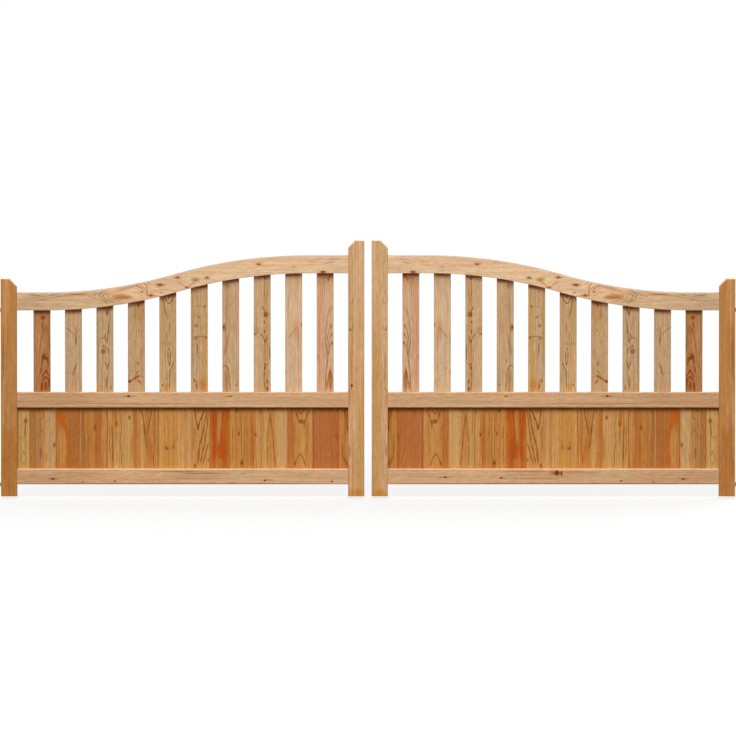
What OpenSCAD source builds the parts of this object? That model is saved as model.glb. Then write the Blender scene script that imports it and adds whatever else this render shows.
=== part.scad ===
// Double timber gate. Two mirror-image framed leaves meet in the middle of the opening. Each leaf has a
// swan-neck top rail that sweeps up to the meeting stile, open pales above its mid rail and
// tongue-and-groove boards below it, and turns on two hook-and-band hinges behind its hanging stile.
// All lengths are in millimetres. X runs across the opening, Y from the front to the back, Z is up.
// The origin is the middle of the back face of the lower left hook's plate, where it bolts to its post.

/* [Leaf] */
// Width of one leaf over its stiles
leaf_w = 1500; // [1200:10:2400]
// Thickness of the framed leaf
leaf_t = 45; // [40:1:70]
// Gap between the two meeting stiles when the gate is shut
meeting_gap = 30; // [10:1:60]

/* [Stiles] */
// Face width of a stile
stile_w = 67; // [55:1:120]
// Foot of a stile below the bottom rail
foot_h = 50; // [20:1:150]
// Horn of the hanging stile above the top rail
hang_horn_h = 60; // [45:1:150]
// Horn of the meeting stile above the top rail
meet_horn_h = 65; // [45:1:150]
// Height of the 45-degree weathering on a stile's top, on the side that faces the rails
weathering = 32; // [5:1:40]

/* [Rails] */
// Depth of the bottom rail and the mid rail
rail_h = 63; // [50:1:120]
// Depth of the top rail, square to its curve
top_rail_h = 70; // [60:1:120]
// Clear height of the boarded opening
board_opening_h = 256; // [150:1:600]
// Clear height of the pale opening beside the hanging stile
pale_opening_h = 341; // [200:1:900]
// Rise of the swan neck from the hanging stile to the meeting stile
neck_rise = 154; // [60:1:300]
// Level stretch of the top rail beside the hanging stile
hang_level = 120; // [60:1:250]
// Level stretch of the top rail beside the meeting stile
meet_level = 168; // [60:1:300]

/* [Joinery] */
// Width of the rebates that take the ends of the pales and boards
lap = 15; // [8:1:20]
// Thickness of a tenon
tenon_t = 15; // [10:1:20]
// Shoulder above and below a tenon
tenon_shoulder = 8; // [4:1:12]
// Clearance round each tenon, tongue, pale end and board end
fit = 0.3; // [0.1:0.05:1]
// Width of the eased arris along the timber's edges
arris = 1.5; // [0.5:0.25:4]

/* [Pales and boards] */
// Thickness of the pales and the boards
infill_t = 20; // [14:1:26]
// Number of pales in a leaf
pale_count = 10; // [4:1:14]
// Width of a pale
pale_w = 70; // [40:1:100]
// Gap between the hanging stile and the first pale
first_gap = 68; // [20:1:120]
// Cover width of a full board
board_w = 106; // [60:1:200]
// Cover width of the first board, ripped to suit, beside the hanging stile
first_board_w = 54; // [30:1:100]
// Gap between the faces of neighbouring boards
board_gap = 0.5; // [0.2:0.1:2]
// Size of the V where two boards meet
board_v = 3; // [1:0.5:6]
// Length of a board's tongue
tongue_l = 6; // [3:0.5:10]
// Thickness of a board's tongue
tongue_t = 6; // [4:0.5:8]

/* [Hinge bands] */
// Radius of the hinge pins
pin_r = 8; // [6:0.5:10]
// Running clearance between a pin and its eye, on the radius
pin_fit = 0.08; // [0.02:0.01:0.1]
// Wall of a band's rolled eye
eye_wall = 6; // [5:0.5:9]
// Thickness of a band's strap
strap_t = 5; // [3:0.5:8]
// Height of a band
strap_h = 40; // [30:1:50]
// Length of a strap from the pin's axis to its rounded tip
strap_l = 380; // [250:5:600]
// Number of fixing holes along a strap
strap_holes = 4; // [2:1:6]
// Distance of a strap's first hole from the pin's axis
first_hole = 30; // [28:1:60]

/* [Hinge hooks] */
// Height of a hook's plate
plate_h = 100; // [90:1:160]
// Width of a hook's plate
plate_w = 50; // [48:1:80]
// Thickness of a hook's plate
plate_t = 5; // [4:0.5:10]
// Radius of the fixing holes in the plates and straps
hole_r = 4.5; // [3:0.25:6]
// Spacing of the plate's holes from front to back
plate_holes_y = 30; // [24:1:34]
// Spacing of the plate's holes from bottom to top
plate_holes_z = 74; // [60:1:78]
// Clearance of the leaf's edge and of the eyes from the plates
swing_gap = 6; // [5:0.5:20]
// Height of the plate's centre above the hook's shank
plate_rise = 22; // [10:1:28]
// Length of the shank and its weld between the plate and the bend
weld_l = 5; // [3:0.5:6]
// Width of the weld's fillet round the shank
weld_w = 4; // [2:0.5:6]
// Height of the collar that carries the eye
collar_h = 4; // [2:0.5:8]
// Gap under an eye at rest on its collar
seat_gap = 0.3; // [0.1:0.05:0.8]
// Pin above the top of its eye
pin_proud = 8; // [4:1:20]

/* [Hidden] */
$fn = 96;
neck_fn = 256; // facets of a full circle on the swan neck's large radii
overrun = 1; // how far a cut runs past the face it opens

SIDES = ["left", "right"];
function pale_name(side, i) = str(side, "_pale_", i);

// Heights of the rails, of the openings between them and of the stiles
opening_w = leaf_w - 2 * stile_w;
bottom_rail_z = foot_h + rail_h / 2;
board_z = foot_h + rail_h;
mid_rail_z = board_z + board_opening_h + rail_h / 2;
pale_z = board_z + board_opening_h + rail_h;
hang_rail_z = pale_z + pale_opening_h + top_rail_h / 2;
meet_rail_z = hang_rail_z + neck_rise;
hang_stile_h = hang_rail_z + top_rail_h / 2 + hang_horn_h;
meet_stile_h = meet_rail_z + top_rail_h / 2 + meet_horn_h;

// Pales and boards lie flush with the back of the leaf, in rebates as deep as they are thick
recess = leaf_t - infill_t;
tenon_y = recess - tenon_t;

// The gaps after the first are equal
pale_pitch = (opening_w - first_gap) / pale_count;

// The swan neck is two equal arcs, tangent to each other halfway and to the level ends of the rail
neck_start = stile_w + hang_level;
neck_run = opening_w - hang_level - meet_level;
neck_end = neck_start + neck_run;
neck_angle = 2 * atan(neck_rise / neck_run);
neck_r = neck_run / (2 * sin(neck_angle));
past_joint = 1; // degrees that each arc is swept past their joint before it is cut square there

// The pin stands behind the leaf, far enough from the plate for the eye to turn
eye_r = pin_r + pin_fit + eye_wall;
pin_x = eye_r;
pin_y = leaf_t + eye_r;
bend_r = pin_x + swing_gap - weld_l;
function shank_z(band_z) = band_z - strap_h / 2 - seat_gap - collar_h - bend_r;
hang_gap = swing_gap + plate_t;

// ---- Placing ----

// Moves a piece from the left leaf's own axes to its side of the gate. The leaf's axes start at the outer
// front corner of the hanging stile's foot.
module on_side(side) {
    gate_mid_x = leaf_w + meeting_gap / 2;
    translate([hang_gap, -pin_y, -shank_z(bottom_rail_z) - plate_rise])
        if (side == "left") children();
        else translate([2 * gate_mid_x, 0, 0]) mirror([1, 0, 0]) children();
}

// Turns an outline drawn in X and Z into a slab of thickness t whose front face is at y.
module front_slab(y, t) {
    translate([0, y + t, 0]) rotate([90, 0, 0]) linear_extrude(t) children();
}

// ---- Stiles ----

// Rectangle from the origin with its four corners eased.
module eased_rectangle(w, d) {
    polygon([
        [arris, 0], [w - arris, 0], [w, arris], [w, d - arris],
        [w - arris, d], [arris, d], [0, d - arris], [0, arris]
    ]);
}

// Through mortise for the tenon of a rail of depth h whose centre line is at z.
module mortise(z, h) {
    tenon_h = h - 2 * tenon_shoulder;
    translate([-overrun, tenon_y - fit, z - tenon_h / 2 - fit])
        cube([stile_w + 2 * overrun, tenon_t + 2 * fit, tenon_h + 2 * fit]);
}

// Stile of height h with its outer edge at x = 0. The top rail's centre line meets it at top_z.
module stile(h, top_z) {
    difference() {
        intersection() {
            linear_extrude(h) eased_rectangle(stile_w, leaf_t);
            front_slab(0, leaf_t) polygon([
                [0, 0], [stile_w, 0], [stile_w, h - weathering], [stile_w - weathering, h], [0, h]
            ]);
        }
        mortise(bottom_rail_z, rail_h);
        mortise(mid_rail_z, rail_h);
        mortise(top_z, top_rail_h);
        // Rebate for the edge of the boards
        translate([stile_w - lap, recess, board_z - lap])
            cube([lap + overrun, infill_t + overrun, board_opening_h + 2 * lap]);
    }
}

module hanging_stile() {
    color("peru") stile(hang_stile_h, hang_rail_z);
}

module meeting_stile() {
    color("burlywood") translate([leaf_w, 0, 0]) mirror([1, 0, 0]) stile(meet_stile_h, meet_rail_z);
}

// ---- Rails ----

// Section of a rail of depth h: [height above its centre line, distance behind its front face]. A rebate
// runs along each rear edge that carries pales or boards.
function rail_section(h, rebate_below, rebate_above) = concat(
    [[arris - h / 2, 0], [h / 2 - arris, 0], [h / 2, arris]],
    rebate_above
        ? [[h / 2, recess], [h / 2 - lap, recess], [h / 2 - lap, leaf_t]]
        : [[h / 2, leaf_t - arris], [h / 2 - arris, leaf_t]],
    rebate_below
        ? [[lap - h / 2, leaf_t], [lap - h / 2, recess], [-h / 2, recess]]
        : [[arris - h / 2, leaf_t], [-h / 2, leaf_t - arris]],
    [[-h / 2, arris]]
);

// Straight stretch of rail of length l from x, with its centre line at z.
module straight_rail(section, x, z, l) {
    translate([x, 0, z]) rotate([90, 0, 90]) linear_extrude(l) polygon([for (p = section) [p[1], p[0]]]);
}

// Bent stretch of rail about a centre at [x, z], swept from a given angle. It sags, with the centre above
// it, when rise is -1, and it crowns, with the centre below it, when rise is 1.
module bent_rail(section, x, z, from, rise) {
    translate([x, 0, z]) rotate([90, 0, 0]) rotate([0, 0, from])
        rotate_extrude(angle = neck_angle + past_joint, $fn = neck_fn)
            polygon([for (p = section) [neck_r + rise * p[0], -p[1]]]);
}

// Everything on one side of the plane where the two arcs meet: side is -1 towards the hanging stile and 1
// towards the meeting stile.
module beside_arc_joint(side) {
    translate([neck_start + neck_run / 2, 0, hang_rail_z + neck_rise / 2]) rotate([0, -neck_angle, 0])
        translate([(side - 1) / 2 * neck_run, -overrun, -neck_run / 2])
            cube([neck_run, leaf_t + 2 * overrun, neck_run]);
}

// Through tenon that starts at x, on a rail of depth h whose centre line is at z.
module tenon(x, z, h) {
    tenon_h = h - 2 * tenon_shoulder;
    translate([x, tenon_y, z - tenon_h / 2]) cube([stile_w, tenon_t, tenon_h]);
}

module straight_rail_with_tenons(z, section) {
    straight_rail(section, stile_w, z, opening_w);
    tenon(0, z, rail_h);
    tenon(leaf_w - stile_w, z, rail_h);
}

module bottom_rail() {
    color("tan") straight_rail_with_tenons(bottom_rail_z, rail_section(rail_h, false, true));
}

module mid_rail() {
    color("tan") straight_rail_with_tenons(mid_rail_z, rail_section(rail_h, true, true));
}

module top_rail() {
    section = rail_section(top_rail_h, true, false);
    color("wheat") {
        straight_rail(section, stile_w, hang_rail_z, hang_level);
        intersection() {
            bent_rail(section, neck_start, hang_rail_z + neck_r, 270, -1);
            beside_arc_joint(-1);
        }
        intersection() {
            bent_rail(section, neck_end, meet_rail_z - neck_r, 90, 1);
            beside_arc_joint(1);
        }
        straight_rail(section, neck_end, meet_rail_z, meet_level);
        tenon(0, hang_rail_z, top_rail_h);
        tenon(leaf_w - stile_w, meet_rail_z, top_rail_h);
    }
}

// ---- Pales ----

// Outline of everything under a line that runs parallel to the top rail's centre line, v above it.
module under_neck(v) {
    bend_x = neck_start + neck_run / 2 - v * sin(neck_angle);
    bend_z = hang_rail_z + neck_rise / 2 + v * cos(neck_angle);
    square([neck_start, hang_rail_z + v]);
    difference() {
        translate([neck_start, 0]) square([bend_x - neck_start, bend_z]);
        translate([neck_start, hang_rail_z + neck_r]) circle(r = neck_r - v, $fn = neck_fn);
    }
    translate([bend_x, 0]) square([neck_end - bend_x, bend_z]);
    intersection() {
        translate([bend_x, bend_z]) square([neck_end - bend_x, meet_rail_z + v - bend_z]);
        translate([neck_end, meet_rail_z - neck_r]) circle(r = neck_r + v, $fn = neck_fn);
    }
    translate([neck_end, 0]) square([leaf_w - neck_end, meet_rail_z + v]);
}

// Pale number i from the hanging stile. Its foot stands in the mid rail's rebate and its top is cut to the
// curve of the top rail's rebate.
module pale(i) {
    foot_z = pale_z - lap + fit;
    color("burlywood") intersection() {
        translate([stile_w + first_gap + pale_pitch * (i - 1), recess, foot_z])
            linear_extrude(meet_rail_z - foot_z) eased_rectangle(pale_w, infill_t);
        front_slab(recess, infill_t) under_neck(lap - fit - top_rail_h / 2);
    }
}

// ---- Boards ----

// Section of a board between x0 and x1, front face at y = 0, with a groove along its left edge and a tongue
// along its right edge where another board meets it.
function board_section(x0, x1, groove, tongue) =
    let (
        t0 = (infill_t - tongue_t) / 2,
        t1 = t0 + tongue_t,
        groove_x = x0 + tongue_l - board_gap + fit
    )
    concat(
        groove
            ? [[x0, infill_t], [x0, t1 + fit], [groove_x, t1 + fit], [groove_x, t0 - fit], [x0, t0 - fit],
               [x0, board_v], [x0 + board_v, 0]]
            : [[x0, infill_t], [x0, 0]],
        tongue
            ? [[x1 - board_v, 0], [x1, board_v], [x1, t0], [x1 + tongue_l, t0], [x1 + tongue_l, t1], [x1, t1],
               [x1, infill_t]]
            : [[x1, 0], [x1, infill_t]]
    );

// The boards fill the lower opening and its rebates: a ripped board, full boards, and what is left over.
module boards() {
    full_boards = floor((opening_w - first_board_w) / board_w);
    last = full_boards + 1;
    // Joint i is the line between board i - 1 and board i
    joint_x = [for (i = [0 : last + 1])
        i == 0 ? stile_w - lap : i > last ? leaf_w - stile_w + lap : stile_w + first_board_w + board_w * (i - 1)];
    color("sandybrown") translate([0, recess, board_z - lap + fit])
        linear_extrude(board_opening_h + 2 * (lap - fit))
            for (i = [0 : last])
                polygon(board_section(
                    joint_x[i] + (i == 0 ? fit : board_gap / 2),
                    joint_x[i + 1] - (i == last ? fit : board_gap / 2),
                    i > 0, i < last
                ));
}

// ---- Hinges ----

// Band on the back of a rail at height z: a strap with a rounded tip and an eye rolled round the pin.
module band(z) {
    tip_x = strap_l - strap_h / 2;
    hole_step = (tip_x - first_hole) / (strap_holes - 1);
    color("silver") translate([pin_x, pin_y, z])
        difference() {
            union() {
                translate([0, 0, -strap_h / 2]) cylinder(h = strap_h, r = eye_r);
                translate([0, -eye_r, -strap_h / 2]) cube([tip_x, strap_t, strap_h]);
                translate([tip_x, -eye_r, 0]) rotate([-90, 0, 0]) cylinder(h = strap_t, r = strap_h / 2);
            }
            translate([0, 0, -strap_h / 2 - overrun])
                cylinder(h = strap_h + 2 * overrun, r = pin_r + pin_fit);
            for (i = [0 : strap_holes - 1])
                translate([first_hole + i * hole_step, -eye_r - overrun, 0])
                    rotate([-90, 0, 0]) cylinder(h = strap_t + 2 * overrun, r = hole_r);
        }
}

// Hook for the band at height z: a drilled plate on the post, and a round bar that leaves it, bends upwards
// and ends as the hinge pin, with a collar under the eye.
module hook(z) {
    bend_top = z - strap_h / 2 - seat_gap - collar_h;
    pin_l = collar_h + seat_gap + strap_h + pin_proud;
    tip_h = pin_r / 4;
    color("gray") translate([0, pin_y, 0]) {
        translate([-swing_gap, 0, shank_z(z)]) rotate([0, 90, 0]) {
            cylinder(h = weld_l, r = pin_r);
            cylinder(h = weld_w, r1 = pin_r + weld_w, r2 = pin_r);
        }
        translate([weld_l - swing_gap, 0, bend_top]) rotate([90, 0, 0]) rotate([0, 0, 270])
            rotate_extrude(angle = 90) translate([bend_r, 0]) circle(r = pin_r);
        translate([pin_x, 0, bend_top]) {
            cylinder(h = collar_h, r = eye_r - 1);
            cylinder(h = pin_l - tip_h, r = pin_r);
            translate([0, 0, pin_l - tip_h]) cylinder(h = tip_h, r1 = pin_r, r2 = pin_r - tip_h);
        }
        translate([-hang_gap, -plate_w / 2, shank_z(z) + plate_rise - plate_h / 2]) difference() {
            cube([plate_t, plate_w, plate_h]);
            for (y = [-1, 1], up = [-1, 1])
                translate([-overrun, (plate_w + y * plate_holes_y) / 2, (plate_h + up * plate_holes_z) / 2])
                    rotate([0, 90, 0]) cylinder(h = plate_t + 2 * overrun, r = hole_r);
        }
    }
}

for (side = SIDES) on_side(side) {
    hanging_stile();
    meeting_stile();
    top_rail();
    mid_rail();
    bottom_rail();
    boards();
    band(hang_rail_z);
    band(bottom_rail_z);
    hook(hang_rail_z);
    hook(bottom_rail_z);
    for (i = [1 : pale_count])
        pale(i);
}
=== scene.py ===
"""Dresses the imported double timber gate: larch leaves, galvanised hinges and their fixings.

Lengths are millimetres unless they are said to be metres. The finishes measure on a leaf, with u across
from its hanging edge, depth back from the frame's front face and height up from the stiles' feet. The
right leaf is the left one's mirror image.
"""

import logging
import math
from dataclasses import dataclass, field, replace
from enum import Enum, StrEnum
from functools import partial

import bpy
from mathutils import Matrix, Vector


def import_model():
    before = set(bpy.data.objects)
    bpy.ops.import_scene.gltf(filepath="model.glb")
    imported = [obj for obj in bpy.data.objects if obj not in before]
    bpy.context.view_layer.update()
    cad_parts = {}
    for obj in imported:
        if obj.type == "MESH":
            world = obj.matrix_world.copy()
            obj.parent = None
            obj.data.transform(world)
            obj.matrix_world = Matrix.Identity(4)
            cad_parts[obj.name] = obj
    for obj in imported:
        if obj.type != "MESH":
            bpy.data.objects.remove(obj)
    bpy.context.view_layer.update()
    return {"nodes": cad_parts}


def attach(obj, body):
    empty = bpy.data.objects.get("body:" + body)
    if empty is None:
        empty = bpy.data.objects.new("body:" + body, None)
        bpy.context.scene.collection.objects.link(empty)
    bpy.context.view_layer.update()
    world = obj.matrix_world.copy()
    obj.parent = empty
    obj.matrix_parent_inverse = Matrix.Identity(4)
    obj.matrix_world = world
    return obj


LOG = logging.getLogger("gate")
MM = 0.001

# Where the leaves stand in the row frame
GATE_MID_X = 1526.0
MEETING_HALF_GAP = 15.0
LEAF_WIDTH = 1500.0
FRONT_Y = -59.08
FOOT_Z = -64.12

# Faces, heights and sizes that the pieces of a leaf share
REAR_DEPTH = 45.0
INFILL_DEPTH = 25.0
BOARD_OPENING = (113.0, 369.0)
PALE_FOOT = 432.0
RAIL = 63.0
LAP = 15.0

# Inputs and outputs of the node groups that aren't plain numbers
SOCKET_KINDS = {"Place": "Vector", "Centre": "Vector", "Grain": "Vector",
                "Colour": "Color", "Tint": "Color", "Bleach": "Color"}


def linear(code: str) -> tuple[float, float, float, float]:
    """Turns an sRGB hex colour into the linear colour that shaders take.

    Args:
        code: The colour as "#rrggbb".

    Returns:
        Linear red, green, blue and an alpha of 1.
    """
    shares = [int(code[at:at + 2], 16) / 255 for at in (1, 3, 5)]
    red, green, blue = (v / 12.92 if v <= 0.04045 else ((v + 0.055) / 1.055) ** 2.4 for v in shares)
    return red, green, blue, 1.0


def add(tree: bpy.types.NodeTree, kind: str, *values: object, **settings: object) -> bpy.types.Node:
    """Adds a node with its settings and its inputs.

    Args:
        tree: The tree that the node goes into.
        kind: The node's type, with its operation after a dot where it has one.
        *values: The inputs in their order, and a dictionary for those given by name. A socket is linked,
            and a node by its first output in use. Anything else is the input's own value.
        **settings: The node's other properties.

    Returns:
        The new node.
    """
    kind, _, operation = kind.partition(".")
    node = tree.nodes.new(kind if kind.startswith("NodeGroup") else f"ShaderNode{kind}")
    if operation:
        node.operation = operation
    for name, value in settings.items():
        setattr(node, name, value)
    inputs: dict[int | str, object] = {}
    for at, value in enumerate(values):
        inputs |= value if isinstance(value, dict) else {at: value}
    for key, value in inputs.items():
        if isinstance(value, bpy.types.Node):
            value = next(socket for socket in value.outputs if socket.enabled)
        if isinstance(value, bpy.types.NodeSocket):
            tree.links.new(value, node.inputs[key])
        else:
            node.inputs[key].default_value = value
    return node


def new_group(name: str, inputs: tuple[str, ...], outputs: tuple[str, ...]) -> tuple:
    """Makes an empty node group.

    Args:
        name: The group's name.
        inputs: Names of its inputs.
        outputs: Names of its outputs.

    Returns:
        The group, the call that adds a node to it, and the sockets that give its inputs.
    """
    group = bpy.data.node_groups.new(name, "ShaderNodeTree")
    for way, labels in (("INPUT", inputs), ("OUTPUT", outputs)):
        for label in labels:
            kind = f"NodeSocket{SOCKET_KINDS.get(label, 'Float')}"
            group.interface.new_socket(label, in_out=way, socket_type=kind)
    node = partial(add, group)
    return group, node, node("NodeGroupInput").outputs if inputs else ()


def new_material(name: str) -> tuple[bpy.types.Material, partial]:
    """Makes an empty material.

    Args:
        name: The material's name.

    Returns:
        The material and the call that adds a node to it.
    """
    made = bpy.data.materials.new(name)
    made.use_nodes = True
    made.node_tree.nodes.clear()
    return made, partial(add, made.node_tree)


# Colours of bare larch: its timber and its marks, and the colours of light and shade painted on it
OCHRE = "#c2985a"
UMBER = "#a06a32"
RUST = "#ae6a2c"
AMBER = "#b97b38"
HONEY = "#c08848"
GOLD = "#c68c44"
RESIN = "#bc8020"
FLAME = "#b45e0a"
EMBER = "#ae4c00"
STRAW = "#c59860"
TERRACOTTA = "#ad632a"
RUSSET = "#ac7849"
FAWN = "#ba9a72"
TAN = "#bf9c74"
BUFF = "#bd9868"
SAND = "#cba77d"
BEIGE = "#cfac86"
ROSE = "#cfa680"
CHESTNUT = "#af7b43"
COPPER = "#a8682f"
MAIZE = "#c69a60"
BISCUIT = "#d3a77a"
CREAM = "#dcbc94"
OAT = "#c0966c"
BLUSH = "#c8926e"
PEACH = "#e0b890"
# painted light: the light colour given to faces that look up, as the brightness that light from above gives
# them
PAINTED_TOP_LIGHT = "#f2d8b4"
DUN = "#b99a78"
CLAY = "#b26a38"
# the greyer colour painted on the top rail's upper faces
TOP_RAIL_UPPER_GREY = "#b89c7e"
PITCH = "#4a240c"
MADDER = "#883e10"
BARK = "#82480c"
SAP = "#96602c"
# painted shade: a dark brown laid on the tops of the boards and pales, as the shadow under the rails
PAINTED_RAIL_SHADE = "#8e3e06"
PLUM = "#86503c"
OLIVE = "#86682c"

# Colours of the surface: late wood, round a knot, resin ducts, end grain and a knot's core
LATE_WOOD = "#b88252"
HALO = "#e0a870"
DUCT = "#c09468"
END_GRAIN = "#e2cdb4"
KNOT_CORE = "#64340c"

# A place across and along a member, a spot or a line on it, and a mark, as Look.marks says
Place = tuple[float, float]
Shape = tuple[float | Place, ...]
Mark = tuple[str | float | Shape, ...]


@dataclass(frozen=True)
class Knot:
    """A branch cut across, which the grain flows round.

    Attributes:
        across: Where it is across the member.
        along: Where it is along the member.
        radius: Its radius.
    """

    across: float
    along: float
    radius: float


@dataclass(frozen=True)
class Streak:
    """A mark that follows the grain: a discoloured or resinous streak, and also the shade painted under a
    rail.

    Attributes:
        tint: Its colour.
        strength: How much of that colour shows.
        across: Where its middle is across the member.
        along: Where its middle is along the member.
        half_width: Half of its width.
        half_length: Half of its length.
        lean: How far it goes across for each step along.
        bend: How fast it curves across, for each metre along.
        front_only: Whether it is on the front of the member only.
    """

    tint: str
    strength: float
    across: float
    along: float
    half_width: float
    half_length: float
    lean: float = 0.0
    bend: float = 0.0
    front_only: bool = False


def line(tint: str, strength: float, width: float, *places: Place) -> list[Streak]:
    """Streaks end to end, along a line that the grain makes.

    Args:
        tint: The line's colour.
        strength: How much of that colour shows.
        width: Half of its width.
        *places: The places that it goes through, each across and along the member.

    Returns:
        A leaning streak for each stretch of the line.
    """
    least_rise, overlap = 2.0, 0.6  # a level stretch leans steeply, and stretches run into each other
    made = []
    for (across, along), (to_across, to_along) in zip(places, places[1:]):
        rise = to_along - along
        rise = rise if abs(rise) > least_rise else least_rise
        lean = (to_across - across) / rise
        made.append(Streak(tint, strength, (across + to_across) / 2, (along + to_along) / 2,
                           width * math.hypot(1, lean), abs(rise) * overlap + 1, lean))
    return made


@dataclass(frozen=True)
class Look:
    """How one member's timber grew and coloured.

    Attributes:
        tint: The timber's main colour.
        second: The colour that its bands drift to.
        pith: Centre of the growth rings, across and behind the face.
        contrast: Strength of the late wood.
        marks: Tints with their strengths and shapes, in the order in which they are laid. A spot is given
            as a streak is, from its place on. A line is half its width and its places.
        knots: The member's knots.
        lean: Slope of the rings along the member. The arches point up for a positive slope.
        ring: Width of a growth ring.
        wander: How far the rings stray from round.
        apex: Where along the member an arch peaks.
        bow: How fast the rings curl away from the apex both ways, for each metre.
        eased: How much darker the eased arrises are. Below 0 they are painted lighter, against the shade on
            them.
        bleached: How far the upper faces are painted in the colour below, as painted light from above.
        bleach: The colour painted on the upper faces.
    """

    tint: str
    second: str
    pith: Place
    contrast: float
    marks: tuple[Mark, ...]
    knots: tuple[Knot, ...] = ()
    lean: float = 0.01
    ring: float = 8.0
    wander: float = 16.0
    apex: float = 0.0
    bow: float = 0.0
    eased: float = 1.0
    bleached: float = 0.0
    bleach: str = PAINTED_TOP_LIGHT

    def streaks(self) -> list[Streak]:
        """Turns the marks into streaks.

        Returns:
            The streaks in the order in which they are laid.
        """
        made = []
        for tint, strength, *shapes in self.marks:
            for shape in shapes:
                is_line = isinstance(shape[1], tuple)
                made += line(tint, strength, *shape) if is_line else [Streak(tint, strength, *shape)]
        return made

    def grown(self, knots: tuple[Knot, ...], marks: tuple[Mark, ...]) -> "Look":
        """The same look with more knots and marks."""
        return replace(self, knots=(*self.knots, *knots), marks=(*self.marks, *marks))

    def with_painted_shade(self, head: float, half_width: float, strength: float) -> "Look":
        """The same look with shade painted on the top of its front, where the member runs up under a rail.

        Args:
            head: Height of the rail's underside on the member.
            half_width: Half of the painted shade's width.
            strength: How dark it is.

        Returns:
            The new look.
        """
        rise, half_length = 4.0, 18.0  # the painted shade is centred a little up behind the rail
        rail_shade_patch = (PAINTED_RAIL_SHADE, strength, (0, head + rise, half_width, half_length, 0.0, 0.0, True))
        return replace(self, marks=(*self.marks, rail_shade_patch))


class Grain(Enum):
    """The way a member's grain runs, as the turn about Y that stands it upright, in degrees."""

    UPRIGHT = 0.0
    LEVEL = -90.0


class Side(StrEnum):
    """A leaf, seen from the front."""

    LEFT = "left"
    RIGHT = "right"


class Level(StrEnum):
    """A hinge of a leaf."""

    LOWER = "lower"
    UPPER = "upper"


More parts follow.
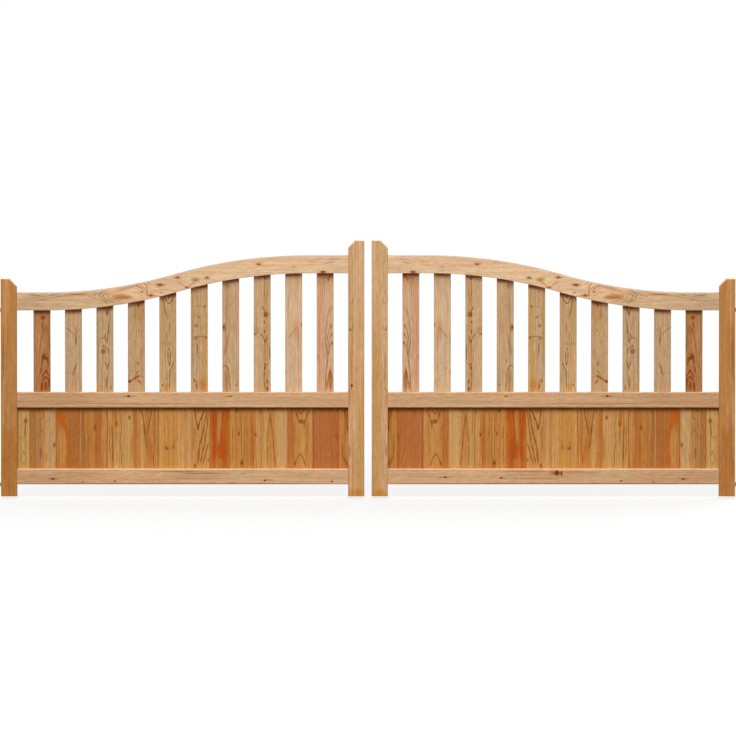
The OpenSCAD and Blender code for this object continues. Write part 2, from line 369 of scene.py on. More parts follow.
@dataclass
class TimberGroups:
    """Node groups that every timber finish shares.

    MapRange nodes are given a value, the range that it comes from and the range that it goes to.

    Attributes:
        place: Place on the leaf.
        noise: Uneven growth.
        knot: Knots.
        rings: Growth rings.
        streak: Streaks.
        surface: The planed face.
        seed_step: How far apart in the noise members with neighbouring seeds are.
        side_step: How far apart in the noise the leaves are.
        curl_reach: How far from its apex an arch goes on curling.
    """

    place: bpy.types.NodeTree = field(init=False)
    noise: bpy.types.NodeTree = field(init=False)
    knot: bpy.types.NodeTree = field(init=False)
    rings: bpy.types.NodeTree = field(init=False)
    streak: bpy.types.NodeTree = field(init=False)
    surface: bpy.types.NodeTree = field(init=False)
    seed_step: tuple[float, float, float] = (137.1, 59.3, 431.7)
    side_step: tuple[float, float, float] = (23.7, 11.3, 517.9)
    curl_reach: float = 150.0

    def __post_init__(self) -> None:
        """Builds the groups."""
        self.build_place()
        self.build_noise()
        self.build_knot()
        self.build_rings()
        self.build_streak()
        self.build_surface()

    def build_place(self) -> None:
        """Place on the leaf in millimetres, the same on both leaves, and which side of the middle it is."""
        self.place, node, _ = new_group("leaf place", (), ("Place", "Side"))
        axes = node("SeparateXYZ", node("TexCoord").outputs["Object"]).outputs
        off = node("Math.SUBTRACT", axes["X"], GATE_MID_X * MM)
        u = node("Math.SUBTRACT", (LEAF_WIDTH + MEETING_HALF_GAP) * MM, node("Math.ABSOLUTE", off))
        joined = node("CombineXYZ", u, axes["Y"], axes["Z"])
        place = node("VectorMath.MULTIPLY_ADD", joined, (1 / MM,) * 3, (0, -FRONT_Y, -FOOT_Z))
        node("NodeGroupOutput", place, node("Math.SIGN", off))

    def build_noise(self) -> None:
        """One member's uneven growth: drifting rings, colour bands, ragged edges, fibres and ducts."""
        # Size of each pattern across the grain and along it, its detail, its roughness, and whether it
        # differs between the leaves
        patterns = {
            "Broad": (42.0, 380.0, 1.5, 0.5, False),
            "Wave": (15.0, 130.0, 2.0, 0.5, False),
            "Band": (20.0, 520.0, 2.0, 0.5, False),
            "Ragged": (6.0, 60.0, 2.0, 0.5, False),
            "Mottle": (7.0, 38.0, 2.0, 0.6, False),
            "Fibre": (6.0, 260.0, 4.5, 0.72, True),  # in bundles, as one fibre is too fine to show
            "Duct": (1.1, 9.0, 0.0, 0.5, True),  # resin ducts, drawn wider than their real 0.1 mm
        }
        self.noise, node, given = new_group("timber noise", ("Place", "Side", "Seed"), tuple(patterns))
        own = node("VectorMath.MULTIPLY_ADD", given["Seed"], self.seed_step, given["Place"])
        sided = node("VectorMath.MULTIPLY_ADD", given["Side"], self.side_step, own)
        made = {}
        for name, (across, along, detail, rough, by_side) in patterns.items():
            start = sided if by_side else own
            sized = node("VectorMath.MULTIPLY", start, (1 / across, 1 / across, 1 / along))
            made[name] = node("TexNoise",
                              {"Vector": sized, "Scale": 1.0, "Detail": detail, "Roughness": rough})
        node("NodeGroupOutput", made)

    def build_knot(self) -> None:
        """A knot, added to those before it: how far it swells the rings, its dark core and its halo."""
        effects = ("Swell", "Core", "Halo")
        inputs = ("Place", "Centre", "Radius", "Ragged", *effects)
        self.knot, node, given = new_group("knot", inputs, effects)
        core_oval, spread_oval = (1, 0, 0.8), (1, 0, 0.42)  # nearly round, and drawn out along the grain
        core_edge, halo_edge, halo_share = (1.15, 0.8), (2.2, 0.7), 0.8  # outer and inner, in radii
        uneven, turns, turn_share, core_share = 0.9, 8.0, 0.16, 0.8  # the core's rim, and the rings in it
        fade, swelling = -0.3, 1.5  # how soon the rings settle round it, and how far they bulge
        off = node("VectorMath.SUBTRACT", given["Place"], given["Centre"])
        radii = node("VectorMath.SCALE", off, {"Scale": node("Math.DIVIDE", 1.0, given["Radius"])})
        near = node("VectorMath.LENGTH", node("VectorMath.MULTIPLY", radii, core_oval))
        near = node("Math.ADD", near, node("Math.MULTIPLY_ADD", given["Ragged"], uneven, -uneven / 2))
        core = node("MapRange", near, *core_edge, interpolation_type="SMOOTHSTEP")
        turn = node("Math.COSINE", node("Math.MULTIPLY", near, turns))
        core = node("Math.MULTIPLY", core, node("Math.MULTIPLY_ADD", turn, turn_share, core_share))
        wide = node("VectorMath.LENGTH", node("VectorMath.MULTIPLY", radii, spread_oval))
        halo = node("MapRange", wide, *halo_edge, 0.0, halo_share, interpolation_type="SMOOTHSTEP")
        fall = node("Math.EXPONENT", node("Math.MULTIPLY", node("Math.POWER", wide, 2.0), fade))
        fall = node("Math.MULTIPLY", fall, given["Radius"])
        node("NodeGroupOutput", node("Math.MULTIPLY_ADD", fall, swelling, given["Swell"]),
             node("Math.MAXIMUM", core, given["Core"]), node("Math.MAXIMUM", halo, given["Halo"]))

    def build_rings(self) -> None:
        """Late wood of the growth rings, which are round the pith and lean along it.

        So a flat face cuts them into arches, and an end into arcs.
        """
        inputs = ("Place", "Broad", "Wave", "Swell", "Pith across", "Pith depth", "Apex", "Lean", "Bow",
                  "Ring", "Wander", "Seed")
        self.rings, node, given = new_group("growth rings", inputs, ("Line",))
        noise_mean, ripple_share = 0.5, 0.3  # short waves sway the rings a third as far as broad ones
        year_pace, year_gain = 0.31, 1.6  # good and bad years come in runs of about three
        late_rise, late_end = (0.4, 0.88), (1.0, 0.93)  # late wood darkens slowly and stops short
        least_late = 0.25  # its share in the faintest year
        axes = node("SeparateXYZ", given["Place"]).outputs
        across = node("Math.SUBTRACT", axes["X"], given["Pith across"])
        drift = node("Math.SUBTRACT", given["Broad"], noise_mean)
        across = node("Math.MULTIPLY_ADD", drift, given["Wander"], across)
        depth = node("Math.SUBTRACT", axes["Y"], given["Pith depth"])
        reach = node("VectorMath.LENGTH", node("CombineXYZ", across, depth))
        reach = node("Math.SUBTRACT", reach, given["Pith depth"])
        along = node("Math.SUBTRACT", axes["Z"], given["Apex"])
        reach = node("Math.MULTIPLY_ADD", given["Lean"], along, reach)
        curl = node("Math.MINIMUM", node("Math.POWER", along, 2.0), self.curl_reach ** 2)
        reach = node("Math.MULTIPLY_ADD", given["Bow"], curl, reach)
        ripple = node("Math.SUBTRACT", given["Wave"], noise_mean)
        ripple = node("Math.MULTIPLY", ripple, given["Wander"])
        reach = node("Math.MULTIPLY_ADD", ripple, ripple_share, reach)
        reach = node("Math.ADD", reach, given["Swell"])
        count = node("Math.DIVIDE", reach, given["Ring"])
        pace = node("Math.MULTIPLY_ADD", count, year_pace, given["Seed"])
        uneven = node("TexNoise", {"W": pace, "Scale": 1.0, "Detail": 1.0}, noise_dimensions="1D")
        count = node("Math.MULTIPLY_ADD", uneven, year_gain, count)
        phase = node("Math.FRACT", count)
        rise = node("MapRange", phase, *late_rise, interpolation_type="SMOOTHSTEP")
        late = node("Math.MULTIPLY", rise, node("MapRange", phase, *late_end))
        number = node("Math.ADD", node("Math.FLOOR", count), given["Seed"])
        year = node("TexWhiteNoise", {"W": number}, noise_dimensions="1D")
        share = node("MapRange", year, 0.0, 1.0, least_late, 1.0)
        node("NodeGroupOutput", node("Math.MULTIPLY", late, share))

    def build_streak(self) -> None:
        """A streak laid over a colour."""
        inputs = ("Colour", "Place", "Ragged", "Centre", "Half width", "Half length", "Lean", "Bend",
                  "Tint", "Strength")
        self.streak, node, given = new_group("streak", inputs, ("Colour",))
        uneven, edge = 1.3, (1.3, 0.5)  # its rim's straying, and its outer and inner edge, in half sizes
        axes = node("SeparateXYZ", node("VectorMath.SUBTRACT", given["Place"], given["Centre"])).outputs
        slope = node("Math.MULTIPLY_ADD", given["Bend"], axes["Z"], given["Lean"])
        side = node("Math.SUBTRACT", axes["X"], node("Math.MULTIPLY", slope, axes["Z"]))
        side = node("Math.DIVIDE", side, given["Half width"])
        side = node("Math.SUBTRACT", node("Math.MULTIPLY_ADD", given["Ragged"], uneven, side), uneven / 2)
        end = node("Math.DIVIDE", axes["Z"], given["Half length"])
        reach = node("VectorMath.LENGTH", node("CombineXYZ", side, end))
        mask = node("MapRange", reach, *edge, interpolation_type="SMOOTHSTEP")
        mask = node("Math.MULTIPLY", mask, given["Strength"])
        laid = node("Mix", {"Factor": mask, "A": given["Colour"], "B": given["Tint"]}, data_type="RGBA")
        node("NodeGroupOutput", laid)

    def build_surface(self) -> None:
        """The planed face: late wood, knots, fibres, ducts, end grain, darker eased arrises, painted light
        on upper faces.
        """
        inputs = ("Colour", "Line", "Contrast", "Fibre", "Duct", "Core", "Halo", "Grain", "Eased",
                  "Bleached", "Bleach", "Mottle")
        self.surface, node, given = new_group("timber surface", inputs, ("Colour", "Roughness", "Height"))
        duct_peak, duct_share = (0.66, 0.76), 0.5  # only the noise's peaks are ducts
        upper_from, end_from = (0.3, 0.8), (0.5, 1.0)  # how far a face turns up, or across the grain
        fibre_noise, fibre_gain = (0.3, 0.7), (0.86, 1.14)  # fibres are darker or lighter by a seventh
        arris_width, arris_gain = 3.0, -0.25  # an eased arris is darker, as it holds dirt, and painted lighter where Eased is below 0
        mottle_share, mottle_base = 0.6, 0.7
        rough_base, rough_late, rough_fibre = 0.62, -0.1, 0.12  # late wood is denser, so it is smoother
        late_height, duct_height = 0.45, -0.4  # beside the fibres' height of 1
        duct = node("MapRange", given["Duct"], *duct_peak, 0.0, duct_share)
        normal = node("TexCoord").outputs["Normal"]
        end = node("Math.ABSOLUTE", node("VectorMath.DOT_PRODUCT", normal, given["Grain"]))
        facing = node("SeparateXYZ", normal).outputs
        # painted light: faces that look up are mixed towards a given colour, lighter on most members and
        # greyer on the top rail
        upper = node("Math.MULTIPLY", node("MapRange", facing["Z"], *upper_from), given["Bleached"])
        # An arris faces partly to the front or back
        flat = node("Math.ABSOLUTE", facing["Y"])
        edge = node("Math.MULTIPLY", node("Math.MULTIPLY_ADD", flat, -1.0, 1.0), flat)
        edge = node("Math.MULTIPLY", edge, arris_width, use_clamp=True)
        edge = node("Math.MULTIPLY", edge, given["Eased"])
        colour = given["Colour"]
        for factor, blend, code in (
            (node("Math.MULTIPLY", given["Line"], given["Contrast"]), "MULTIPLY", LATE_WOOD),
            (given["Halo"], "MULTIPLY", HALO),
            (duct, "MULTIPLY", DUCT),
            (node("MapRange", end, *end_from), "MULTIPLY", END_GRAIN),
            (given["Core"], "MIX", KNOT_CORE),
        ):
            colour = node("Mix", {"Factor": factor, "A": colour, "B": linear(code)}, data_type="RGBA",
                          blend_type=blend)
        colour = node("Mix", {"Factor": upper, "A": colour, "B": given["Bleach"]}, data_type="RGBA")
        gain = node("MapRange", given["Fibre"], *fibre_noise, *fibre_gain)
        gain = node("Math.MULTIPLY", gain, node("Math.MULTIPLY_ADD", edge, arris_gain, 1.0))
        mottle = node("Math.MULTIPLY_ADD", given["Mottle"], mottle_share, mottle_base)
        gain = node("Math.MULTIPLY", gain, mottle)
        shaded = node("VectorMath.SCALE", colour, {"Scale": gain})
        rough = node("Math.MULTIPLY_ADD", given["Line"], rough_late, rough_base)
        rough = node("Math.MULTIPLY_ADD", given["Fibre"], rough_fibre, rough)
        height = node("Math.MULTIPLY_ADD", given["Line"], late_height, given["Fibre"])
        node("NodeGroupOutput", shaded, rough, node("Math.MULTIPLY_ADD", duct, duct_height, height))


@dataclass(frozen=True)
class TimberFinish:
    """Planed larch, left bare: satin, with darker raised late wood, resin streaks and tight knots.

    Attributes:
        name: The material's name.
        origin: Where the member's own measures start, as u, depth and height on the leaf.
        look: How its timber grew and coloured.
        seed: Number that sets its noise apart.
        grain: The way the grain runs.
        front_skin: How far behind its face a mark on the front still shows.
        bands: The stretch of the noise over which the timber goes from one colour to the other.
    """

    name: str
    origin: tuple[float, float, float]
    look: Look
    seed: float
    grain: Grain = Grain.UPRIGHT
    front_skin: float = 6.0
    bands: tuple[float, float] = (0.36, 0.64)

    def material(self, groups: TimberGroups) -> bpy.types.Material:
        """Builds the material.

        Args:
            groups: The node groups shared by the timber finishes.

        Returns:
            The new material.
        """
        look = self.look
        made, node = new_material(self.name)
        angle = math.radians(self.grain.value)
        start = Matrix.Rotation(angle, 3, "Y") @ Vector(self.origin)
        leaf = node("Group", node_tree=groups.place).outputs
        place = node("Mapping", leaf["Place"], {"Location": -start, "Rotation": (0, angle, 0)})
        noise = node("Group", {"Place": place, "Side": leaf["Side"], "Seed": self.seed},
                     node_tree=groups.noise).outputs
        knots = {}
        for knot in look.knots:
            centre = (knot.across, 0, knot.along)
            grown = node("Group", {"Place": place, "Centre": centre, "Radius": knot.radius,
                                   "Ragged": noise["Ragged"], **knots}, node_tree=groups.knot)
            knots = dict(grown.outputs.items())
        rings = node("Group", {"Place": place, "Broad": noise["Broad"], "Wave": noise["Wave"],
                               "Swell": knots.pop("Swell", 0.0), "Pith across": look.pith[0],
                               "Pith depth": look.pith[1], "Apex": look.apex, "Lean": look.lean,
                               "Bow": look.bow * MM, "Ring": look.ring, "Wander": look.wander,
                               "Seed": self.seed}, node_tree=groups.rings)
        band = node("MapRange", noise["Band"], *self.bands, interpolation_type="SMOOTHSTEP")
        colour = node("Mix", {"Factor": band, "A": linear(look.tint), "B": linear(look.second)},
                      data_type="RGBA")
        for streak in look.streaks():
            strength = streak.strength
            # a streak on the front only is the shade painted under a rail
            if streak.front_only:
                depth = node("SeparateXYZ", place).outputs["Y"]
                front = node("Math.LESS_THAN", depth, self.front_skin)
                strength = node("Math.MULTIPLY", front, strength)
            centre = (streak.across, 0, streak.along)
            colour = node("Group", {"Colour": colour, "Place": place, "Ragged": noise["Ragged"],
                                    "Centre": centre, "Half width": streak.half_width,
                                    "Half length": streak.half_length, "Lean": streak.lean,
                                    "Bend": streak.bend * MM, "Tint": linear(streak.tint),
                                    "Strength": strength}, node_tree=groups.streak)
        grain = (0, 0, 1) if self.grain is Grain.UPRIGHT else (1, 0, 0)
        surface = node("Group", {"Colour": colour, "Line": rings, "Contrast": look.contrast,
                                 "Fibre": noise["Fibre"], "Duct": noise["Duct"], "Mottle": noise["Mottle"],
                                 "Grain": grain, "Eased": look.eased, "Bleached": look.bleached,
                                 "Bleach": linear(look.bleach), **knots}, node_tree=groups.surface).outputs
        bump = node("Bump", {"Height": surface["Height"], "Strength": 0.5, "Distance": 0.4 * MM})
        shader = node("BsdfPrincipled", {"Base Color": surface["Colour"], "Roughness": surface["Roughness"],
                                         "IOR": 1.45, "Specular IOR Level": 0.2, "Normal": bump})
        node("OutputMaterial", shader)
        return made


# Looks of the boards from the hanging side, measured from their middle and their foot
BOARD_LOOKS = (
    Look(OCHRE, OCHRE, pith=(60, 30), contrast=0.45, marks=(
        (UMBER, 0.6, (25, 128, 4, 240)), (HONEY, 0.6, (-22, 128, 6, 240)), (SAP, 1, (8, 198, 8, 12)),
        (BLUSH, 0.8, (8, 216, 5, 6)), (BARK, 0.8, (9, 200, 3, 6)), (SAP, 0.9, (3.6, (7, 192), (4, 126))),
        (OLIVE, 0.75, (-8, 127, 5, 4)), (STRAW, 0.8, (0, 104, 10, 30)),
        (OLIVE, 0.75, (2, (-17, 28), (-9, 50), (0, 72), (6, 54))),
        (OLIVE, 0.5, (2, (-16, 12), (-6, 28), (2, 14))))),
    Look(CHESTNUT, HONEY, pith=(-60, 40), contrast=0.35, knots=(Knot(46, 98, 3.8),), marks=(
        (UMBER, 0.85, (-42, 128, 11, 300)), (BUFF, 0.8, (32, 130, 21, 320)), (SAP, 0.75, (-10, 205, 7, 5)),
        (BARK, 0.6, (-20, 242, 7, 8)), (SAP, 0.75, (2, (-18, 202), (-25, 160), (-22, 110))),
        (BARK, 0.5, (2, (0, 236), (6, 222), (-4, 208))),
        (SAP, 0.8, (2, (-22, 122), (-14, 150), (-6, 163), (4, 150), (8, 136))),
        (PLUM, 0.95, (-9, 62, 3.2, 26)), (OLIVE, 0.4, (2, (12, 70), (14, 20))))),
    Look(RUST, COPPER, pith=(70, 20), contrast=0.4, ring=9, marks=(
        (HONEY, 0.85, (-30, 85, 20, 90)),
        (FLAME, 1, (-30, 222, 21, 44), (8, (-24, 206), (-9, 150), (-4, 118)), (5.5, (-4, 125), (-5, 12))),
        (FLAME, 0.6, (4, (-42, 110), (-41, 30))), (BARK, 0.35, (2, (8, 240), (9, 20))),
        (BARK, 0.3, (2, (22, 240), (22, 20))), (BARK, 0.35, (2, (38, 240), (37, 20))),
        (STRAW, 0.6, (50, 130, 2.5, 260)))),
    Look(RUST, AMBER, pith=(-90, 30), contrast=0.4, ring=9, marks=(
        (UMBER, 0.95, (-47, 130, 8, 280)), (HONEY, 0.7, (44, 130, 13, 150)), (BARK, 0.75, (1, 170, 8, 13)),
        (AMBER, 0.8, (-3, 173, 3.5, 5)), (SAP, 0.8, (-5, 209, 5, 6)), (HONEY, 0.8, (-5, 209, 2, 3)),
        (SAP, 0.8, (-3, 238, 5, 6)), (SAP, 0.75, (2, (-12, 152), (-17, 118), (-14, 96))),
        (TERRACOTTA, 0.6, (6, 80, 12, 30)), (TERRACOTTA, 0.75, (2, (-12, 72), (-4, 80), (5, 74))),
        (TERRACOTTA, 0.95, (3.4, (24, 240), (25, 150), (22, 80))), (HONEY, 0.6, (2, (-28, 12), (-16, 52))),
        (SAP, 0.4, (2, (-24, 200), (-26, 90))))),
    Look(HONEY, OCHRE, pith=(-60, 30), contrast=0.58, lean=0.005, knots=(Knot(38, 212, 3.2),), marks=(
        (BARK, 0.35, (2, (-51, 245), (-50, 15))), (STRAW, 0.5, (26, 128, 12, 240)),
        (BARK, 0.75, (2, (-45, 190), (-42, 130), (-45, 95), (-40, 50)), (2, (-36, 180), (-32, 120),
         (-34, 80), (-30, 30))), (FLAME, 0.65, (-19, 214, 9, 36)), (FLAME, 0.95, (-17, 186, 9, 15)),
        (SAP, 0.45, (5, (-18, 168), (-14, 112))),
        (BARK, 0.85, (2, (3, 245), (4, 150), (1, 112), (4, 70), (7, 15))),
        (TERRACOTTA, 0.5, (50, 85, 7, 50)), (BARK, 0.4, (2, (-12, 70), (-14, 15))))),
    Look(AMBER, HONEY, pith=(-90, 30), contrast=0.45, lean=0.004, marks=(
        (TERRACOTTA, 0.6, (-44, 130, 8, 280)), (STRAW, 0.6, (-16, 100, 9, 140)),
        (BARK, 0.95, (3, (-18, 246), (-9, 195), (-3, 130), (4, 84)), (2.8, (24, 246), (15, 190), (4, 138))),
        (FLAME, 0.55, (9, (18, 132), (21, 60), (26, 12))),
        (BARK, 0.5, (2, (34, 240), (33, 20)), (2, (41, 240), (40, 20))),
        (BARK, 0.55, (2, (50, 240), (49, 20))), (BARK, 0.7, (2, (29, 60), (34, 12))))),
    Look(GOLD, GOLD, pith=(-170, 10), contrast=0.55, lean=0.005, ring=10, wander=8, marks=(
        (STRAW, 0.7, (-42, 150, 6, 220)), (STRAW, 0.5, (32, 130, 12, 260)),
        (BARK, 0.3, (1.6, (-28, 245), (-27, 12)), (1.6, (-17, 245), (-16, 12)), (1.6, (-8, 245),
         (-7, 12)), (1.6, (1, 245), (2, 12)), (1.6, (9, 245), (10, 12)), (1.6, (18, 245), (19, 12))),
        (PITCH, 0.75, (-19, 85, 8, 9)), (AMBER, 0.9, (-18, 87, 3.4, 4)),
        (BARK, 0.75, (2, (-22, 98), (-17, 106))), (SAP, 0.75, (2, (14, 118), (9, 98), (3, 80))),
        (SAP, 0.3, (10, 90, 8, 14)), (CREAM, 0.5, (47, 60, 2, 80)))),
    Look(HONEY, HONEY, pith=(-70, 30), contrast=0.4, lean=0.004, ring=9,
        knots=(Knot(-9, 12, 3.2), Knot(46, 35, 2.2)), marks=(
        (STRAW, 0.5, (-36, 130, 16, 260)),
        (BARK, 0.95, (3, 168, 5, 9), (2.8, (-11, 246), (-5, 205), (3, 168)), (3.4, (3, 168), (10, 196),
         (22, 220), (31, 246))), (BARK, 0.8, (2, (-8, 246), (3, 232), (13, 242))),
        (BARK, 0.95, (3.1, (40, 246), (31, 185), (20, 132), (9, 95), (3, 24))),
        (BARK, 0.9, (2.7, (48, 246), (40, 170), (30, 100), (20, 60), (13, 20))),
        (BARK, 0.85, (2.6, (47, 105), (34, 60), (23, 20))), (BARK, 0.75, (2.2, (-12, 175), (-12, 76))),
        (BARK, 0.4, (2, (-19, 225), (-18, 50))), (BARK, 0.3, (2, (-27, 230), (-26, 30))),
        (STRAW, 0.7, (-52, 128, 2, 240)))),
    Look(TERRACOTTA, RUST, pith=(-80, 40), contrast=0.25, ring=10, marks=(
        (HONEY, 0.55, (-14, 165, 9, 110)),
        (EMBER, 1, (-38, 205, 15, 46), (10, (-38, 178), (-35, 110), (-38, 10))),
        (FLAME, 1, (18, (16, 260), (12, 180), (4, 90))), (EMBER, 0.9, (5, (2, 250), (-4, 180), (-10, 100))),
        (EMBER, 0.95, (-2, 62, 23, 60)), (FLAME, 0.6, (8, 14, 20, 30)), (EMBER, 0.7, (20, 218, 8, 34)),
        (EMBER, 0.5, (2, 90, 8, 60)), (HONEY, 0.9, (42, 130, 15, 300)),
        (EMBER, 0.8, (2.2, (42, 185), (39, 110), (40, 20))), (AMBER, 0.6, (-20, 26, 20, 22)),
        (RUST, 0.6, (-20, 225, 7, 26)))),
    Look(AMBER, AMBER, pith=(-60, 50), contrast=0.4, lean=0.008, ring=9,
        knots=(Knot(-40, 145, 2.8), Knot(29, 140, 3.4), Knot(-27, 23, 5)), marks=(
        (PLUM, 0.9, (-50, 243, 8, 12)), (CHESTNUT, 0.4, (-32, 100, 14, 200)),
        (TERRACOTTA, 0.85, (16, 118, 8, 130)), (TERRACOTTA, 0.6, (14, 45, 9, 30)),
        (STRAW, 0.9, (24, 132, 2.6, 4), (-32, 33, 3, 3.5)), (BARK, 0.4, (2, (-30, 240), (-29, 40))),
        (BARK, 0.45, (2, (-18, 200), (-20, 40))), (SAP, 0.5, (2, (-8, 240), (-6, 30))),
        (GOLD, 0.6, (-24, 120, 5, 110)), (STRAW, 0.6, (40, 130, 9, 260)), (BARK, 0.5, (50, 240, 7, 10)))),
    Look(HONEY, HONEY, pith=(-70, 48), contrast=0.3, ring=9, wander=10, marks=(
        (STRAW, 0.9, (28, 130, 22, 300)), (OCHRE, 0.7, (-42, 130, 9, 260)),
        (AMBER, 0.95, (-15, 130, 9, 120)), (SAP, 0.75, (3.4, (-16, 230), (-15, 190))),
        (OLIVE, 0.9, (2.2, (-17, 224), (-24, 170), (-28, 100), (-28, 15))),
        (BARK, 0.8, (2.2, (-14, 216), (-6, 130), (0, 60), (5, 12))),
        (OLIVE, 0.6, (2, (-43, 246), (-44, 150))), (CREAM, 0.5, (50, 130, 2.5, 260)))),
    Look(AMBER, HONEY, pith=(90, 40), contrast=0.3, lean=0.004, ring=10, wander=10, marks=(
        (TERRACOTTA, 0.65, (-38, 130, 16, 300)), (BARK, 0.75, (8, 197, 11, 7)),
        (BARK, 0.6, (17, 183, 4, 12)),
        (BARK, 0.95, (2.8, (-18, 246), (-8, 204), (2, 191), (16, 187), (24, 205), (39, 246))),
        (BARK, 0.9, (2.4, (-10, 246), (3, 226), (17, 240))), (BARK, 0.8, (18, 172, 3, 5)),
        (SAP, 0.7, (2, (44, 240), (35, 200), (29, 150), (27, 40))), (STRAW, 0.6, (39, 205, 3, 40)),
        (BARK, 0.9, (2.3, (-21, 12), (-10, 46), (-1, 62)), (2.3, (-1, 62), (13, 46), (24, 8))),
        (MADDER, 0.7, (-21, 20, 3, 9)))),
    Look(TERRACOTTA, CLAY, pith=(-120, 40), contrast=0.25, lean=0.02, ring=10, marks=(
        (MADDER, 0.3, (-50, 130, 6, 260)), (HONEY, 0.5, (2, (15, 90), (28, 15))),
        (HONEY, 0.35, (2, (26, 150), (36, 60))), (MADDER, 0.5, (45, 130, 5, 12)),
        (EMBER, 0.3, (48, 110, 4, 110)), (HONEY, 0.3, (2, (-20, 230), (-14, 120))))),
    Look(AMBER, TERRACOTTA, pith=(60, 50), contrast=0.35, ring=9, marks=(
        (HONEY, 0.35, (-13, 130, 6, 260)), (BARK, 0.9, (3, (3, 248), (14, 200), (21, 140))),
        (BARK, 0.85, (2.6, (-6, 110), (-1, 50), (14, 14))), (STRAW, 0.5, (14, 100, 7, 60)),
        (EMBER, 0.5, (15, 226, 7, 20)))),
)

